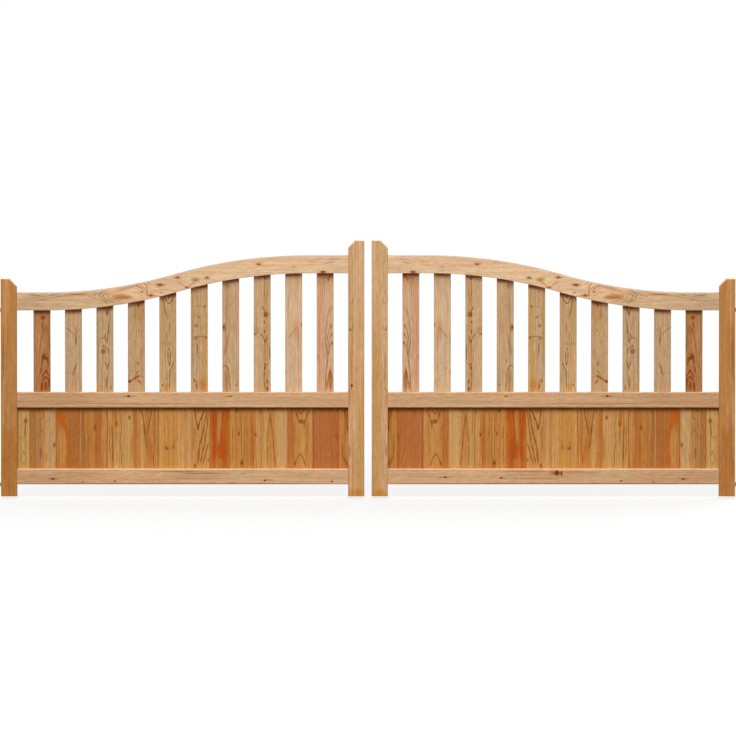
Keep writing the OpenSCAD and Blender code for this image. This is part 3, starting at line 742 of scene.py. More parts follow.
# Looks of the pales from the hanging side, measured from their middle and the top of the mid rail
PALE_LOOKS = (
    Look(RUSSET, RUSSET, pith=(14, 45), contrast=0.48, lean=0.05, apex=160, marks=(
        (OLIVE, 0.6, (28, 215, 6, 110)), (BLUSH, 0.3, (-16, 240, 9, 70)), (COPPER, 0.7, (16, 50, 19, 66)),
        (MADDER, 0.95, (6, 308, 11, 9)), (MADDER, 0.9, (3.6, (4, 292), (2, 264))),
        (SAP, 0.5, (2, (3, 262), (-6, 200), (-10, 120))),
        (SAP, 0.6, (2, (10, 262), (13, 218), (21, 165), (27, 138))),
        (MADDER, 1, (7, 148, 8, 10), (15, 139, 12, 8)), (MADDER, 0.95, (3.2, (2, 154), (1, 110), (-4, 80))),
        (MADDER, 0.9, (3.4, (21, 136), (27, 114))),
        (MADDER, 1, (3.6, (0, 62), (10, 80), (18, 90), (29, 66)), (4, (3, 50), (14, 63), (24, 58),
         (31, 38)), (-1, 22, 5.5, 24)), (MADDER, 0.95, (14, 24, 5.5, 20)), (MADDER, 1, (30, 34, 4.5, 24)))),
    Look(TAN, FAWN, pith=(60, 50), contrast=0.42, ring=9, marks=(
        (SAP, 0.85, (2.2, (-34, 268), (-20, 260), (-5, 246), (8, 235))),
        (BARK, 0.8, (2.4, (7, 272), (10, 238))), (SAP, 0.5, (2, (14, 246), (31, 268))),
        (BARK, 0.9, (3, (8, 232), (11, 194))),
        (OLIVE, 0.5, (2, (-18, 176), (-6, 162), (-10, 150), (-24, 151))),
        (BARK, 0.8, (3, (8, 108), (3, 86), (1, 70))), (BARK, 0.4, (2, (17, 120), (12, 106))),
        (OLIVE, 0.45, (2, (-26, 80), (-8, 78), (4, 56))), (BLUSH, 0.4, (2, 30, 14, 40)),
        (SAP, 0.4, (2, (6, 56), (8, 12))), (BLUSH, 0.3, (2, 310, 12, 80)))),
    Look(TAN, FAWN, pith=(40, 40), contrast=0.42, ring=9, marks=(
        (OLIVE, 0.4, (-31, 170, 5, 200)), (HONEY, 0.55, (-20, 16, 12, 28)),
        (BARK, 0.9, (3.2, (1, 348), (9, 318)), (3.2, (17, 348), (10, 318))),
        (SAP, 0.5, (2, (-8, 304), (-4, 268))),
        (BARK, 0.9, (2.5, (17, 294), (15, 262), (12, 235), (10, 206))),
        (BARK, 0.8, (2.4, (10, 206), (-1, 225))), (BARK, 0.85, (2.5, (3, 242), (-1, 226), (-15, 222))),
        (MADDER, 0.9, (-5, 190, 3.5, 5)), (PLUM, 0.8, (-6, 168, 11, 13)), (COPPER, 0.5, (-3, 172, 6, 7)),
        (BARK, 0.9, (2.5, (1, 187), (13, 177), (15, 158))), (BARK, 0.7, (-9, 142, 2.5, 4)),
        (BARK, 0.85, (2.6, (0, 124), (10, 101)), (2.5, (18, 126), (11, 101))),
        (BARK, 0.9, (10, 98, 3.5, 6)), (SAP, 0.9, (4, (8, 64), (6, 14))),
        (SAP, 0.75, (3, (25, 30), (23, 8))), (SAP, 0.4, (2, (0, 150), (4, 130))),
        (OLIVE, 0.4, (2, (-14, 130), (-14, 50))))),
    Look(BUFF, TAN, pith=(-70, 40), contrast=0.42,
        knots=(Knot(9, 361, 3), Knot(10, 255, 1.8), Knot(6, 118, 2.5)), marks=(
        (COPPER, 0.35, (12, 330, 24, 60)), (HONEY, 0.25, (24, 190, 10, 220)), (SAP, 0.8, (-5, 208, 5, 2.5)),
        (SAP, 0.7, (20, 170, 3, 4)), (BARK, 0.75, (3, (8, 88), (2, 76))), (RESIN, 0.9, (2, 64, 11, 9)),
        (MADDER, 0.75, (3.6, (-34, 42), (-16, 50), (0, 60), (12, 68))), (MADDER, 1, (-30, 43, 9, 7)),
        (MADDER, 0.7, (-6, 57, 9, 4)), (BARK, 0.95, (3.8, (7, 49), (17, 36))),
        (OLIVE, 0.5, (2, (14, 62), (34, 62))), (SAP, 0.4, (2, (-8, 325), (-9, 300))))),
    Look(BUFF, SAND, pith=(80, 50), contrast=0.48, marks=(
        (GOLD, 0.8, (-15, 366, 4, 20)), (BARK, 0.85, (2.3, (-19, 394), (-15, 352), (-5, 314))),
        (BARK, 0.9, (2.4, (-13, 398), (-3, 373), (6, 366), (15, 376), (25, 398))),
        (BARK, 0.8, (5, 393, 5, 5)), (BARK, 0.5, (2, (0, 345), (0, 296))),
        (BARK, 0.8, (2.4, (8, 286), (7, 246))), (SAP, 0.75, (2, (-5, 248), (-5, 212))),
        (OLIVE, 0.35, (-2, 200, 24, 9)), (MADDER, 0.6, (2, (0, 184), (4, 171), (8, 186))),
        (MADDER, 0.75, (2.3, (0, 168), (1, 130), (6, 110))),
        (BARK, 0.85, (2.3, (6, 110), (11, 126), (11, 166))),
        (BARK, 0.9, (2.4, (23, 122), (15, 100), (8, 84), (8, 50), (7, 14))),
        (MADDER, 0.4, (2, (-4, 82), (-3, 36))), (RESIN, 0.7, (-5, 20, 10, 18)),
        (BARK, 0.9, (-22, 28, 3.2, 5)), (OCHRE, 0.6, (-20, 118, 11, 22)))),
    Look(OCHRE, TAN, pith=(90, 50), contrast=0.42, knots=(Knot(22, 355, 2),), marks=(
        (AMBER, 0.7, (16, 30, 17, 32)), (SAP, 0.6, (2, (-4, 356), (20, 354))),
        (SAP, 0.5, (-10, 414, 3, 6), (-10, 385, 3, 5)), (SAP, 0.6, (-19, 320, 3, 6)),
        (BARK, 0.75, (3.2, (-5, 316), (2, 307))), (BARK, 0.85, (-11, 275, 7, 7)),
        (BUFF, 0.9, (-11, 276, 3, 3)), (SAP, 0.75, (3, (-14, 228), (4, 232), (26, 227))),
        (MADDER, 0.6, (-13, 222, 8, 8), (27, 225, 7, 8)), (MADDER, 0.75, (3, (-8, 206), (-7, 148))),
        (CREAM, 0.6, (9, 186, 3, 20)), (SAP, 0.6, (-2, 140, 3, 7), (30, 125, 3, 5)),
        (BARK, 0.75, (-20, 46, 5, 9)), (RESIN, 0.6, (-11, 36, 6, 14)),
        (BARK, 0.95, (3.4, (-12, 32), (-9, 12))), (OLIVE, 0.3, (-28, 250, 6, 180)))),
    Look(TAN, SAND, pith=(-90, 45), contrast=0.48, knots=(Knot(-29, 268, 4.5),), marks=(
        (SAP, 0.5, (2, (-20, 400), (-19, 290))), (SAP, 0.4, (2, (-14, 410), (-15, 300))),
        (SAP, 0.65, (2, (-21, 290), (-17, 270), (-21, 245), (-19, 205), (-27, 156))),
        (SAP, 0.55, (2, (-10, 245), (-14, 190), (-24, 154))), (BARK, 0.75, (2, (-6, 140), (-5, 120))),
        (UMBER, 0.5, (-17, 40, 12, 56)), (BARK, 0.7, (2, (-32, 101), (-27, 109))),
        (BARK, 0.85, (2.6, (-23, 111), (-14, 103), (-8, 88), (-4, 60), (-1, 8))),
        (CREAM, 0.6, (1.6, (-12, 106), (-4, 88), (0, 60), (3, 8))), (BARK, 0.7, (22, 28, 3, 4)),
        (BLUSH, 0.6, (22, 330, 8, 110)), (SAP, 0.4, (-14, 440, 14, 14)))),
    Look(SAND, TAN, pith=(-90, 40), contrast=0.48, knots=(Knot(11, 99, 3.4), Knot(21, 13, 3.6)), marks=(
        (HONEY, 0.5, (15, 240, 11, 290)), (SAP, 0.4, (-22, 258, 13, 18)), (BARK, 0.6, (-30, 240, 7, 6)),
        (BARK, 0.8, (2.4, (7, 480), (12, 466), (20, 476))),
        (SAP, 0.8, (2, (8, 452), (8, 420), (12, 395), (14, 368))), (SAP, 0.6, (2, (21, 445), (21, 376))),
        (BARK, 0.85, (2.6, (2, 354), (10, 334))), (BARK, 0.95, (15, 322, 11, 13)),
        (COPPER, 0.7, (16, 325, 5, 6)), (BARK, 0.75, (8, 290, 4, 7)), (BARK, 0.85, (10, 250, 4.5, 7)),
        (BARK, 0.9, (2.5, (-6, 244), (5, 222), (14, 202), (20, 232))),
        (BARK, 0.8, (2.6, (29, 195), (30, 135))), (SAP, 0.5, (2, (7, 195), (6, 118))),
        (BARK, 0.85, (2.4, (8, 120), (14, 108), (23, 118)), (2.4, (9, 86), (8, 50), (10, 8))),
        (MADDER, 0.9, (21, 42, 3.4, 12)), (CHESTNUT, 0.6, (2, (14, 205), (16, 130))))),
    Look(BEIGE, BEIGE, pith=(-100, 30), contrast=0.25, marks=(
        (BLUSH, 0.75, (12, 255, 15, 46)), (COPPER, 0.85, (2.1, (-20, 225), (-5, 249), (13, 267))),
        (BARK, 0.8, (31, 278, 2.4, 10)), (BARK, 0.45, (-32, 200, 2, 50)), (BARK, 0.6, (-32, 80, 2.4, 16)),
        # the wide COPPER patch at along 492 is shade painted under the top rail
        (BARK, 0.5, (-32, 450, 2.4, 22)), (COPPER, 0.25, (0, 492, 60, 50)), (OLIVE, 0.3, (-15, 100, 5, 9)),
        (BLUSH, 0.4, (24, 150, 5, 150)))),
    Look(ROSE, ROSE, pith=(-90, 50), contrast=0.42, marks=(
        (BLUSH, 0.7, (-20, 250, 13, 280)), (COPPER, 0.9, (3, (-6, 470), (6, 475), (13, 463))),
        (MADDER, 0.9, (3.4, (13, 460), (22, 490))), (COPPER, 0.8, (25, 482, 7, 13)),
        (SAP, 0.5, (2, (-9, 484), (-4, 430), (-2, 396))),
        (BARK, 0.7, (1.9, (18, 354), (9, 306), (3, 250), (0, 190))),
        (BARK, 0.6, (1.8, (27, 352), (19, 330))),
        (BARK, 0.8, (1.9, (29, 262), (25, 282), (15, 254), (8, 212), (3, 165)), (1.9, (30, 230),
         (26, 245), (17, 215), (12, 186), (6, 140))),
        (BARK, 0.85, (2.1, (31, 196), (28, 210), (18, 185), (12, 146), (4, 88), (1, 14))),
        (COPPER, 0.9, (22, 46, 9, 46)), (MADDER, 0.9, (2.4, (27, 56), (20, 98), (12, 50), (5, 8))),
        # the wide COPPER patch at along 492 is shade painted under the top rail
        (BARK, 0.6, (-30, 146, 3, 9)), (COPPER, 0.35, (0, 492, 60, 60)))),
)

# Looks of the frame. Stiles are measured from their middle and their foot, rails downwards from their own
# middle and from the hanging edge. Some marks are on one leaf only.
HANGING_LOOK = Look(CHESTNUT, AMBER, pith=(-90, 30), contrast=0.06, lean=0.004, ring=9, wander=8,
    bleached=0.9, marks=(
    (COPPER, 0.75, (0, 150, 34, 200)), (OAT, 0.4, (-12, 830, 14, 130)), (BLUSH, 0.5, (-14, 800, 3.5, 100)),
    (MADDER, 0.3, (-22, 640, 3.5, 70)), (PLUM, 0.5, (-24, 560, 5, 80)), (BLUSH, 0.4, (-20, 440, 5, 60)),
    (OAT, 0.6, (-25, 350, 3, 80)), (BLUSH, 0.3, (-2, 330, 6, 70)), (TERRACOTTA, 0.5, (8, 215, 6, 70)),
    (TERRACOTTA, 0.4, (-22, 120, 5, 60)), (UMBER, 0.4, (14, 120, 12, 70)), (UMBER, 0.3, (4, 575, 7, 14))))
MEETING_LOOK = Look(MAIZE, BISCUIT, pith=(-60, 40), contrast=0.35, lean=0, ring=7, wander=10, bleached=0.9,
    marks=(
    (OLIVE, 0.6, (2, (-31, 822), (-27, 806), (-20, 802), (-15, 808), (-14, 826)), (2, (-31, 714),
     (-27, 695), (-20, 692), (-14, 708))), (OLIVE, 0.7, (-27, 693, 5, 6)),
    (OLIVE, 0.5, (2, (-28, 748), (-23, 733), (-18, 746))),
    (OLIVE, 0.3, (2, (-30, 880), (-26, 888), (-21, 872))),
    (BLUSH, 0.4, (-28, 850, 6, 50), (-8, 1040, 8, 22)),
    (UMBER, 0.4, (2, (-13, 1000), (-12, 960), (-14, 910))), (OLIVE, 0.4, (2, (-22, 1030), (-20, 985))),
    (UMBER, 0.5, (3, (-19, 482), (-21, 530), (-24, 600))),
    (BARK, 0.8, (2, (-19, 452), (-25, 446), (-31, 432))), (COPPER, 0.5, (-26, 405, 4, 30)),
    (STRAW, 0.7, (-7, 400, 3, 45)), (CREAM, 0.4, (-8, 300, 4, 70)), (CREAM, 0.5, (-12, 555, 3, 50)),
    (CREAM, 0.7, (-10, 620, 2.4, 24)), (OCHRE, 0.75, (2, (-12, 440), (-6, 455))),
    (TERRACOTTA, 0.6, (-27, 190, 7, 26)), (CREAM, 0.6, (-28, 265, 3, 40)),
    (UMBER, 0.45, (2, (-24, 300), (-23, 245), (-17, 205), (-13, 150), (-13, 70))),
    (UMBER, 0.35, (2, (-10, 245), (-5, 200), (-4, 140))), (BLUSH, 0.7, (-30, 120, 5, 16)),
    (BLUSH, 0.5, (-29, 65, 5, 40)), (GOLD, 1, (0, 8, 40, 24)), (RESIN, 0.4, (10, 14, 14, 14)),
    (OLIVE, 0.4, (29, 158, 4, 8)), (OCHRE, 0.5, (24, 480, 7, 60)), (UMBER, 0.14, (0, 330, 90, 460)),
    (BEIGE, 0.3, (0, 900, 60, 210))))
LEFT_MEETING_LOOK = MEETING_LOOK.grown((Knot(-18, 461, 3),), ((PITCH, 0.85, (-18, 461, 6, 6)),))
TOP_LOOK = Look(CREAM, PEACH, pith=(-22, 40), contrast=0.26, lean=0, ring=4, wander=12, apex=505,
    bow=0.8, eased=0.5, bleached=0.85, bleach=TOP_RAIL_UPPER_GREY,
    knots=(Knot(-42, 583, 2.6), Knot(-27, 619, 4.5), Knot(-71, 657, 4), Knot(-102, 731, 4),
           Knot(-61, 768, 3.4), Knot(-101, 851, 2.6), Knot(-157, 1064, 4), Knot(-125, 1330, 4)), marks=(
    (DUN, 0.8, (0, 110, 70, 190)), (SAND, 0.6, (0, 330, 60, 210)),
    (ROSE, 0.8, (-28, 74, 14, 26), (-34, 330, 9, 110)), (BARK, 0.6, (2, (-32, 120), (-28, 150))),
    (BARK, 0.5, (2, (-24, 130), (-31, 172))), (SAP, 0.4, (2, (-18, 128), (-24, 196))),
    (BARK, 0.5, (2, (-26, 196), (-32, 232))),
    (SAP, 0.5, (2, (-5, 150), (-17, 205), (-26, 265), (-32, 335))),
    (BARK, 0.8, (1.6, (-31, 272), (-33, 350))), (SAP, 0.6, (2, (-28, 352), (-12, 402), (8, 448))),
    (SAP, 0.5, (2, (-24, 372), (-34, 396), (-46, 440))),
    (BARK, 0.85, (1.6, (-45, 428), (-30, 406), (-14, 415), (4, 444))),
    (BARK, 0.8, (1.6, (-43, 444), (-28, 421), (-10, 432), (2, 470))),
    (BARK, 0.7, (1.4, (-40, 456), (-26, 438), (-12, 452), (-6, 500))), (HONEY, 0.8, (-21, 502, 10, 44)),
    (TERRACOTTA, 0.5, (-20, 500, 6, 34)), (COPPER, 0.6, (-30, 480, 3, 30)),
    (BLUSH, 0.8, (-58, 520, 7, 60, -0.3)), (BARK, 0.75, (2.2, (-78, 548), (-62, 572), (-50, 590))),
    (SAP, 0.75, (2, (-70, 576), (-56, 596), (-44, 602))),
    (SAP, 0.8, (2, (-82, 590), (-62, 604), (-44, 606))), (BARK, 0.6, (2, (-40, 600), (-22, 606))),
    (SAP, 0.6, (2, (-92, 596), (-74, 616)), (2, (-30, 600), (-24, 650))), (COPPER, 0.5, (-70, 657, 8, 24)),
    (BARK, 0.7, (-40, 664, 3, 5)), (SAP, 0.5, (2, (-48, 640), (-56, 700))),
    (COPPER, 0.6, (-102, 720, 3, 16)),
    (BARK, 0.7, (1.8, (-84, 730), (-64, 762)), (1.8, (-62, 772), (-84, 800))),
    (TERRACOTTA, 0.6, (-92, 803, 11, 20)), (COPPER, 0.6, (-92, 803, 6, 10)),
    (TERRACOTTA, 0.5, (-101, 851, 8, 14)), (SAP, 0.5, (1.5, (-140, 1015), (-146, 1075), (-152, 1136))),
    (OLIVE, 0.5, (-147, 1208, 3, 8)), (SAP, 0.4, (1.5, (-170, 1262), (-166, 1300))),
    (TERRACOTTA, 0.6, (-125, 1330, 6, 14)), (BARK, 0.8, (1.6, (-161, 1338), (-165, 1372))),
    (BLUSH, 0.75, (2, (-176, 1340), (-181, 1400))), (BEIGE, 0.5, (-136, 1400, 14, 60))))
MID_LOOK = Look(BISCUIT, SAND, pith=(60, 30), contrast=0.62, lean=0.002, ring=5, wander=12, eased=0.2,
    bleached=0.35, knots=(Knot(-16, 527, 2), Knot(-16, 946, 1.6)), marks=(
    (OAT, 0.85, (0, 60, 60, 420)), (BARK, 0.4, (14, 500, 2.2, 500, 0, 0.02)),
    (CREAM, 0.55, (22, 900, 3, 420)), (CREAM, 0.5, (25, 250, 2.4, 120)), (BARK, 0.4, (18, 640, 2, 200)),
    # the dark line at across 30 is shade painted along the rail's lower edge
    (BLUSH, 0.25, (4, 1200, 18, 240)), (BARK, 0.3, (6, 250, 2, 160)), (BARK, 0.45, (30, 700, 2, 800)),
    (BARK, 0.8, (-16, 529, 2.6, 28)), (PITCH, 1, (-16, 527, 4.8, 6)), (BARK, 0.5, (-16, 936, 2.4, 24)),
    (BARK, 0.8, (-16, 946, 3.4, 5)), (BLUSH, 0.3, (0, 100, 40, 26)), (BLUSH, 0.35, (8, 1380, 14, 50))))
BOTTOM_LOOK = Look(BISCUIT, SAND, pith=(70, 30), contrast=0.4, lean=-0.002, ring=5, wander=12,
    eased=0.2, bleached=0.8, knots=(Knot(9, 214, 2), Knot(22, 337, 1.4), Knot(18, 470, 1.8)), marks=(
    (OAT, 0.85, (0, 60, 60, 400)), (TAN, 0.6, (26, 700, 2.4, 700)), (OAT, 0.6, (-4, 800, 18, 140)),
    (BARK, 0.45, (-20, 700, 2, 120), (8, 830, 2, 130)), (BLUSH, 0.2, (-8, 1250, 16, 150)),
    # the dark line at across 29 is shade painted along the rail's lower edge
    (BARK, 0.6, (29, 700, 3, 800)), (BARK, 0.8, (9, 214, 2.6, 26)), (PITCH, 1, (9, 214, 4.4, 6)),
    (PITCH, 0.7, (22, 337, 3, 4)), (BARK, 0.85, (18, 470, 3.4, 6))))
LEFT_BOTTOM_LOOK = BOTTOM_LOOK.grown((Knot(15, 1089, 2), Knot(19, 1366, 1.8)), (
    (BARK, 0.8, (14, 1108, 2.4, 22)), (PITCH, 1, (15, 1089, 4.8, 4.8)), (BARK, 0.8, (19, 1366, 3.4, 7)),
    (TERRACOTTA, 0.6, (-14, 835, 3, 90), (-22, 740, 3, 90)), (OLIVE, 0.5, (-14, 1000, 2.4, 14)),
    (STRAW, 0.7, (12, 620, 3, 180))))
RIGHT_BOTTOM_LOOK = BOTTOM_LOOK.grown((Knot(-16, 735, 5), Knot(5, 965, 2.4), Knot(2, 1195, 2)), (
    (TERRACOTTA, 0.6, (-22, 870, 3, 110)), (TERRACOTTA, 0.3, (-16, 640, 8, 80)),
    (TERRACOTTA, 0.6, (-16, 748, 10, 22)), (MADDER, 1, (-16, 735, 12, 11)),
    (MADDER, 0.9, (-14, 716, 12, 5.5)), (BARK, 0.6, (5, 965, 2.4, 16)), (BARK, 0.9, (5, 965, 4.8, 5)),
    (BARK, 0.6, (2, 1202, 2.4, 24)), (PITCH, 0.9, (2, 1195, 4.4, 5))))


@dataclass(frozen=True)
class ZincFinish:
    """Hot-dip galvanised steel: dull silver grey crystals, a little rough, with a bloom of white rust.

    Attributes:
        name: The material's name.
        spangle: Width of a crystal.
        bloom: Width of a cloud of white rust.
        grit: Width of a grain of the dipped surface.
        light: The lightest crystals.
        dark: The darkest crystals.
        white_rust: The bloom's colour.
    """

    name: str = "galvanised steel"
    spangle: float = 9.0
    bloom: float = 24.0
    grit: float = 1.2
    light: str = "#d2d4d4"
    dark: str = "#b2b6b8"
    white_rust: str = "#dcdcda"

    def material(self) -> bpy.types.Material:
        """Builds the material.

        Returns:
            The new material.
        """
        bloom_peak, bloom_share = (0.55, 0.75), 0.6  # it blooms where the clouds are thick
        rough_base, rough_light, rough_bloom = 0.36, 0.14, 0.35  # light crystals and bloom are rougher
        made, node = new_material(self.name)
        where = node("TexCoord").outputs["Object"]
        crystals = node("TexVoronoi", {"Vector": where, "Scale": 1 / (self.spangle * MM)})
        shade = node("SeparateColor", crystals.outputs["Color"])
        cloud = node("TexNoise", {"Vector": where, "Scale": 1 / (self.bloom * MM), "Detail": 4.0})
        grit = node("TexNoise", {"Vector": where, "Scale": 1 / (self.grit * MM), "Detail": 2.0})
        bloom = node("MapRange", cloud, *bloom_peak, 0.0, bloom_share)
        colour = node("Mix", {"Factor": shade, "A": linear(self.dark), "B": linear(self.light)},
                      data_type="RGBA")
        colour = node("Mix", {"Factor": bloom, "A": colour, "B": linear(self.white_rust)}, data_type="RGBA")
        rough = node("Math.MULTIPLY_ADD", shade, rough_light, rough_base)
        rough = node("Math.MULTIPLY_ADD", bloom, rough_bloom, rough)
        bump = node("Bump", {"Height": grit, "Strength": 0.35, "Distance": 0.15 * MM})
        shader = node("BsdfPrincipled", {"Base Color": colour, "Metallic": 1.0, "Roughness": rough,
                                         "Normal": bump})
        node("OutputMaterial", shader)
        return made


def select_only(*pieces: bpy.types.Object) -> None:
    """Selects these pieces alone.

    Args:
        *pieces: The pieces. The first becomes the active one.
    """
    bpy.ops.object.select_all(action="DESELECT")
    for piece in pieces:
        piece.select_set(True)
    bpy.context.view_layer.objects.active = pieces[0]


def finish_piece(piece: bpy.types.Object, name: str, body: str,
                 material: bpy.types.Material) -> None:
    """Names a finished piece, puts its place into its mesh and lets it move with its body.

    Args:
        piece: The piece, modelled where it belongs.
        name: Its name.
        body: The CAD body that it rides on.
        material: Its material.
    """
    select_only(piece)
    bpy.ops.object.transform_apply()
    piece.name = piece.data.name = name
    piece.data.materials.clear()
    piece.data.materials.append(material)
    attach(piece, body)
    LOG.info("%s: %d faces on %s", name, len(piece.data.polygons), body)


def dress(node: bpy.types.Object, *materials: bpy.types.Material) -> None:
    """Gives a CAD node its materials.

    Args:
        node: The node.
        *materials: One material, or one for each slot.
    """
    node.data.materials.clear()
    for material in materials:
        node.data.materials.append(material)
    LOG.info("%s: dressed in %s", node.name, materials[0].name)


def copies_at(master: bpy.types.Object, places: list[Vector]) -> bpy.types.Object:
    """Copies a fixing to each place and joins the copies, each with its own mesh.

    Args:
        master: The fixing, modelled at the origin. It becomes the first copy.
        places: Where the fixings go, in the row frame.

    Returns:
        The joined piece.
    """
    copies = [master]
    for _ in places[1:]:
        select_only(master)
        bpy.ops.object.duplicate()
        copies.append(bpy.context.object)
    for copy, place in zip(copies, places):
        copy.location = place
    select_only(*copies)
    bpy.ops.object.transform_apply()
    bpy.ops.object.join()
    return master


def rounded_disc(radius: float, height: float, sides: int, crown: float) -> bpy.types.Object:
    """Models a disc on the plane y = 0 that faces back, with its rim drawn in to a crown.

    Args:
        radius: Radius over its corners.
        height: Height over the plane.
        sides: Number of sides.
        crown: How far the rim is lowered. It is drawn in a little more.

    Returns:
        The disc, selected and active.
    """
    slant = 1.4  # how far the rim is drawn in for each step that it is lowered
    facing = 0.5  # a face points back where its normal's y is over this
    bpy.ops.object.select_all(action="DESELECT")
    wall = (height - crown) * MM
    bpy.ops.mesh.primitive_cylinder_add(vertices=sides, radius=radius * MM, depth=wall,
                                        location=(0, wall / 2, 0), rotation=(-math.pi / 2, 0, 0))
    bpy.ops.object.transform_apply()
    disc = bpy.context.object
    bpy.ops.object.mode_set(mode="EDIT")
    bpy.ops.mesh.select_all(action="DESELECT")
    bpy.ops.object.mode_set(mode="OBJECT")
    for face in disc.data.polygons:
        face.select = face.normal.y > facing
    bpy.ops.object.mode_set(mode="EDIT")
    bpy.ops.mesh.extrude_region_move(TRANSFORM_OT_translate={"value": (0, crown * MM, 0)})
    inward = (radius - crown * slant) / radius
    bpy.ops.transform.resize(value=(inward, 1, inward), center_override=(0, 0, 0))
    bpy.ops.object.mode_set(mode="OBJECT")
    return disc


def on_leaf(side: Side, u: float, depth: float, height: float) -> Vector:
    """Turns a place on a leaf, in millimetres, into the row frame, in metres.

    Args:
        side: The leaf.
        u: Distance from the hanging edge.
        depth: Distance behind the frame's front face.
        height: Height over the stiles' feet.

    Returns:
        The place in the row frame.
    """
    out = LEAF_WIDTH + MEETING_HALF_GAP - u
    x = GATE_MID_X - out if side is Side.LEFT else GATE_MID_X + out
    return Vector((x, depth + FRONT_Y, height + FOOT_Z)) * MM


@dataclass
class Hinge:
    """One hook-and-band hinge: its CAD band and hook, and the coach screws through the band's strap.

    Attributes:
        side: The leaf.
        level: Which hinge of the leaf it is.
        height: Height of the band's middle on the leaf.
        pin: Distance of the pin's axis from the leaf's edge.
        strap_rear: Depth of the strap's rear face.
        holes: Distances of the strap's holes from the pin's axis.
        washer: Radius, thickness, sides and crown of a screw's washer.
        head: Radius over its corners, height, sides and crown of a screw's head.
    """

    side: Side
    level: Level
    height: float
    pin: float = 14.08
    strap_rear: float = 50.0
    holes: tuple[float, ...] = (30.0, 140.0, 250.0, 360.0)
    washer: tuple[float, float, int, float] = (9.5, 1.6, 20, 0.4)
    head: tuple[float, float, int, float] = (7.5, 5.5, 6, 0.8)

    def build(self, nodes: dict[str, bpy.types.Object], zinc: bpy.types.Material) -> None:
        """Dresses the band and the hook and adds the screws.

        Args:
            nodes: The CAD nodes by name.
            zinc: The hinge's material.
        """
        name = f"{self.side}_{self.level}"
        dress(nodes[f"{name}_band"], zinc)
        dress(nodes[f"{name}_hook"], zinc)
        head = rounded_disc(*self.head)
        head.location.y = self.washer[1] * MM
        screw = rounded_disc(*self.washer)
        select_only(screw, head)
        bpy.ops.object.join()
        places = [on_leaf(self.side, self.pin + hole, self.strap_rear, self.height) for hole in self.holes]
        screws = copies_at(screw, places)
        finish_piece(screws, f"{name}_coach_screws", f"{self.side}_leaf", zinc)


@dataclass
class Leaf:
    """One leaf: its framed timber, pales and boards, and the nails that hold them from behind.

    Attributes:
        side: The leaf.
        stile: Face width of a stile.
        pale: Width of a pale.
        pales: Number of pales.
        first_gap: Gap between the hanging stile and the first pale. The other gaps are equal.
        joints: Distance from the hanging edge to each joint between boards.
        neck: Start and end of the swan neck.
        neck_heights: Height of the top rail's middle before and after the neck.
        top_rail: Depth of the top rail.
        nail: Radius, height, sides and crown of a nail's head.
        pale_nails: Distance of a pale's nails from its middle.
        board_nails: Distance of a board's nails from its middle.
        narrow: A board that is narrower has one nail at each end.
    """

    side: Side
    stile: float = 67.0
    pale: float = 70.0
    pales: int = 10
    first_gap: float = 68.0
    joints: tuple[float, ...] = (67.0, *(121.0 + 106.0 * i for i in range(13)), 1433.0)
    neck: tuple[float, float] = (187.0, 1265.0)
    neck_heights: tuple[float, float] = (808.0, 962.0)
    top_rail: float = 70.0
    nail: tuple[float, float, int, float] = (3.0, 1.1, 12, 0.6)
    pale_nails: float = 18.0
    board_nails: float = 30.0
    narrow: float = 80.0

    def build(self, nodes: dict[str, bpy.types.Object], timber: dict[str, bpy.types.Material],
              zinc: bpy.types.Material) -> None:
        """Dresses the leaf's timber and adds its nails.

        Args:
            nodes: The CAD nodes by name.
            timber: The timber materials by member.
            zinc: The nails' material.
        """
        for member in ("hanging_stile", "meeting_stile", "top_rail", "mid_rail", "bottom_rail"):
            own = timber.get(f"{self.side}_{member}", timber.get(member))
            dress(nodes[f"{self.side}_{member}"], own)
        for i in range(1, self.pales + 1):
            dress(nodes[f"{self.side}_pale_{i}"], timber[f"pale_{i}"])
        boards = nodes[f"{self.side}_boards"]
        dress(boards, *(timber[f"board_{i}"] for i in range(1, len(self.joints))))
        for face in boards.data.polygons:
            face.material_index = self.board_at(face.center.x)
        nails = copies_at(rounded_disc(*self.nail), self.nail_places())
        finish_piece(nails, f"{self.side}_nails", f"{self.side}_leaf", zinc)

    def board_at(self, x: float) -> int:
        """Number of the board, from 0, at x in the row frame."""
        u = LEAF_WIDTH + MEETING_HALF_GAP - abs(x / MM - GATE_MID_X)
        return sum(u > joint for joint in self.joints[1:-1])

    def pale_middle(self, i: int) -> float:
        """Distance from the hanging edge to the middle of pale i, counted from 1."""
        pitch = (LEAF_WIDTH - 2 * self.stile - self.first_gap) / self.pales
        return self.stile + self.first_gap + pitch * (i - 1) + self.pale / 2

    def neck_height(self, u: float) -> float:
        """Height of the top rail's middle, which is two equal arcs between level ends.

        Args:
            u: Distance from the hanging edge.

        Returns:
            The height over the stiles' feet.
        """
        start, end = self.neck
        low, high = self.neck_heights
        radius = ((end - start) ** 2 + (high - low) ** 2) / (4 * (high - low))
        if u < (start + end) / 2:
            return low + radius - math.sqrt(radius ** 2 - max(u - start, 0) ** 2)
        return high - radius + math.sqrt(radius ** 2 - max(end - u, 0) ** 2)

    def nail_places(self) -> list[Vector]:
        """Finds where the nails go: two in each end of every pale and board, or one where it is narrow.

        Returns:
            The places in the row frame.
        """
        spots = []
        for i in range(1, self.pales + 1):
            for offset in (-self.pale_nails, self.pale_nails):
                u = self.pale_middle(i) + offset
                spots += [(u, PALE_FOOT - LAP / 2), (u, self.neck_height(u) - self.top_rail / 2 + LAP / 2)]
        bottom, top = BOARD_OPENING
        for left, right in zip(self.joints, self.joints[1:]):
            for offset in (-self.board_nails, self.board_nails) if right - left > self.narrow else (0.0,):
                u = (left + right) / 2 + offset
                spots += [(u, bottom - LAP / 2), (u, top + LAP / 2)]
        return [on_leaf(self.side, u, REAR_DEPTH, height) for u, height in spots]


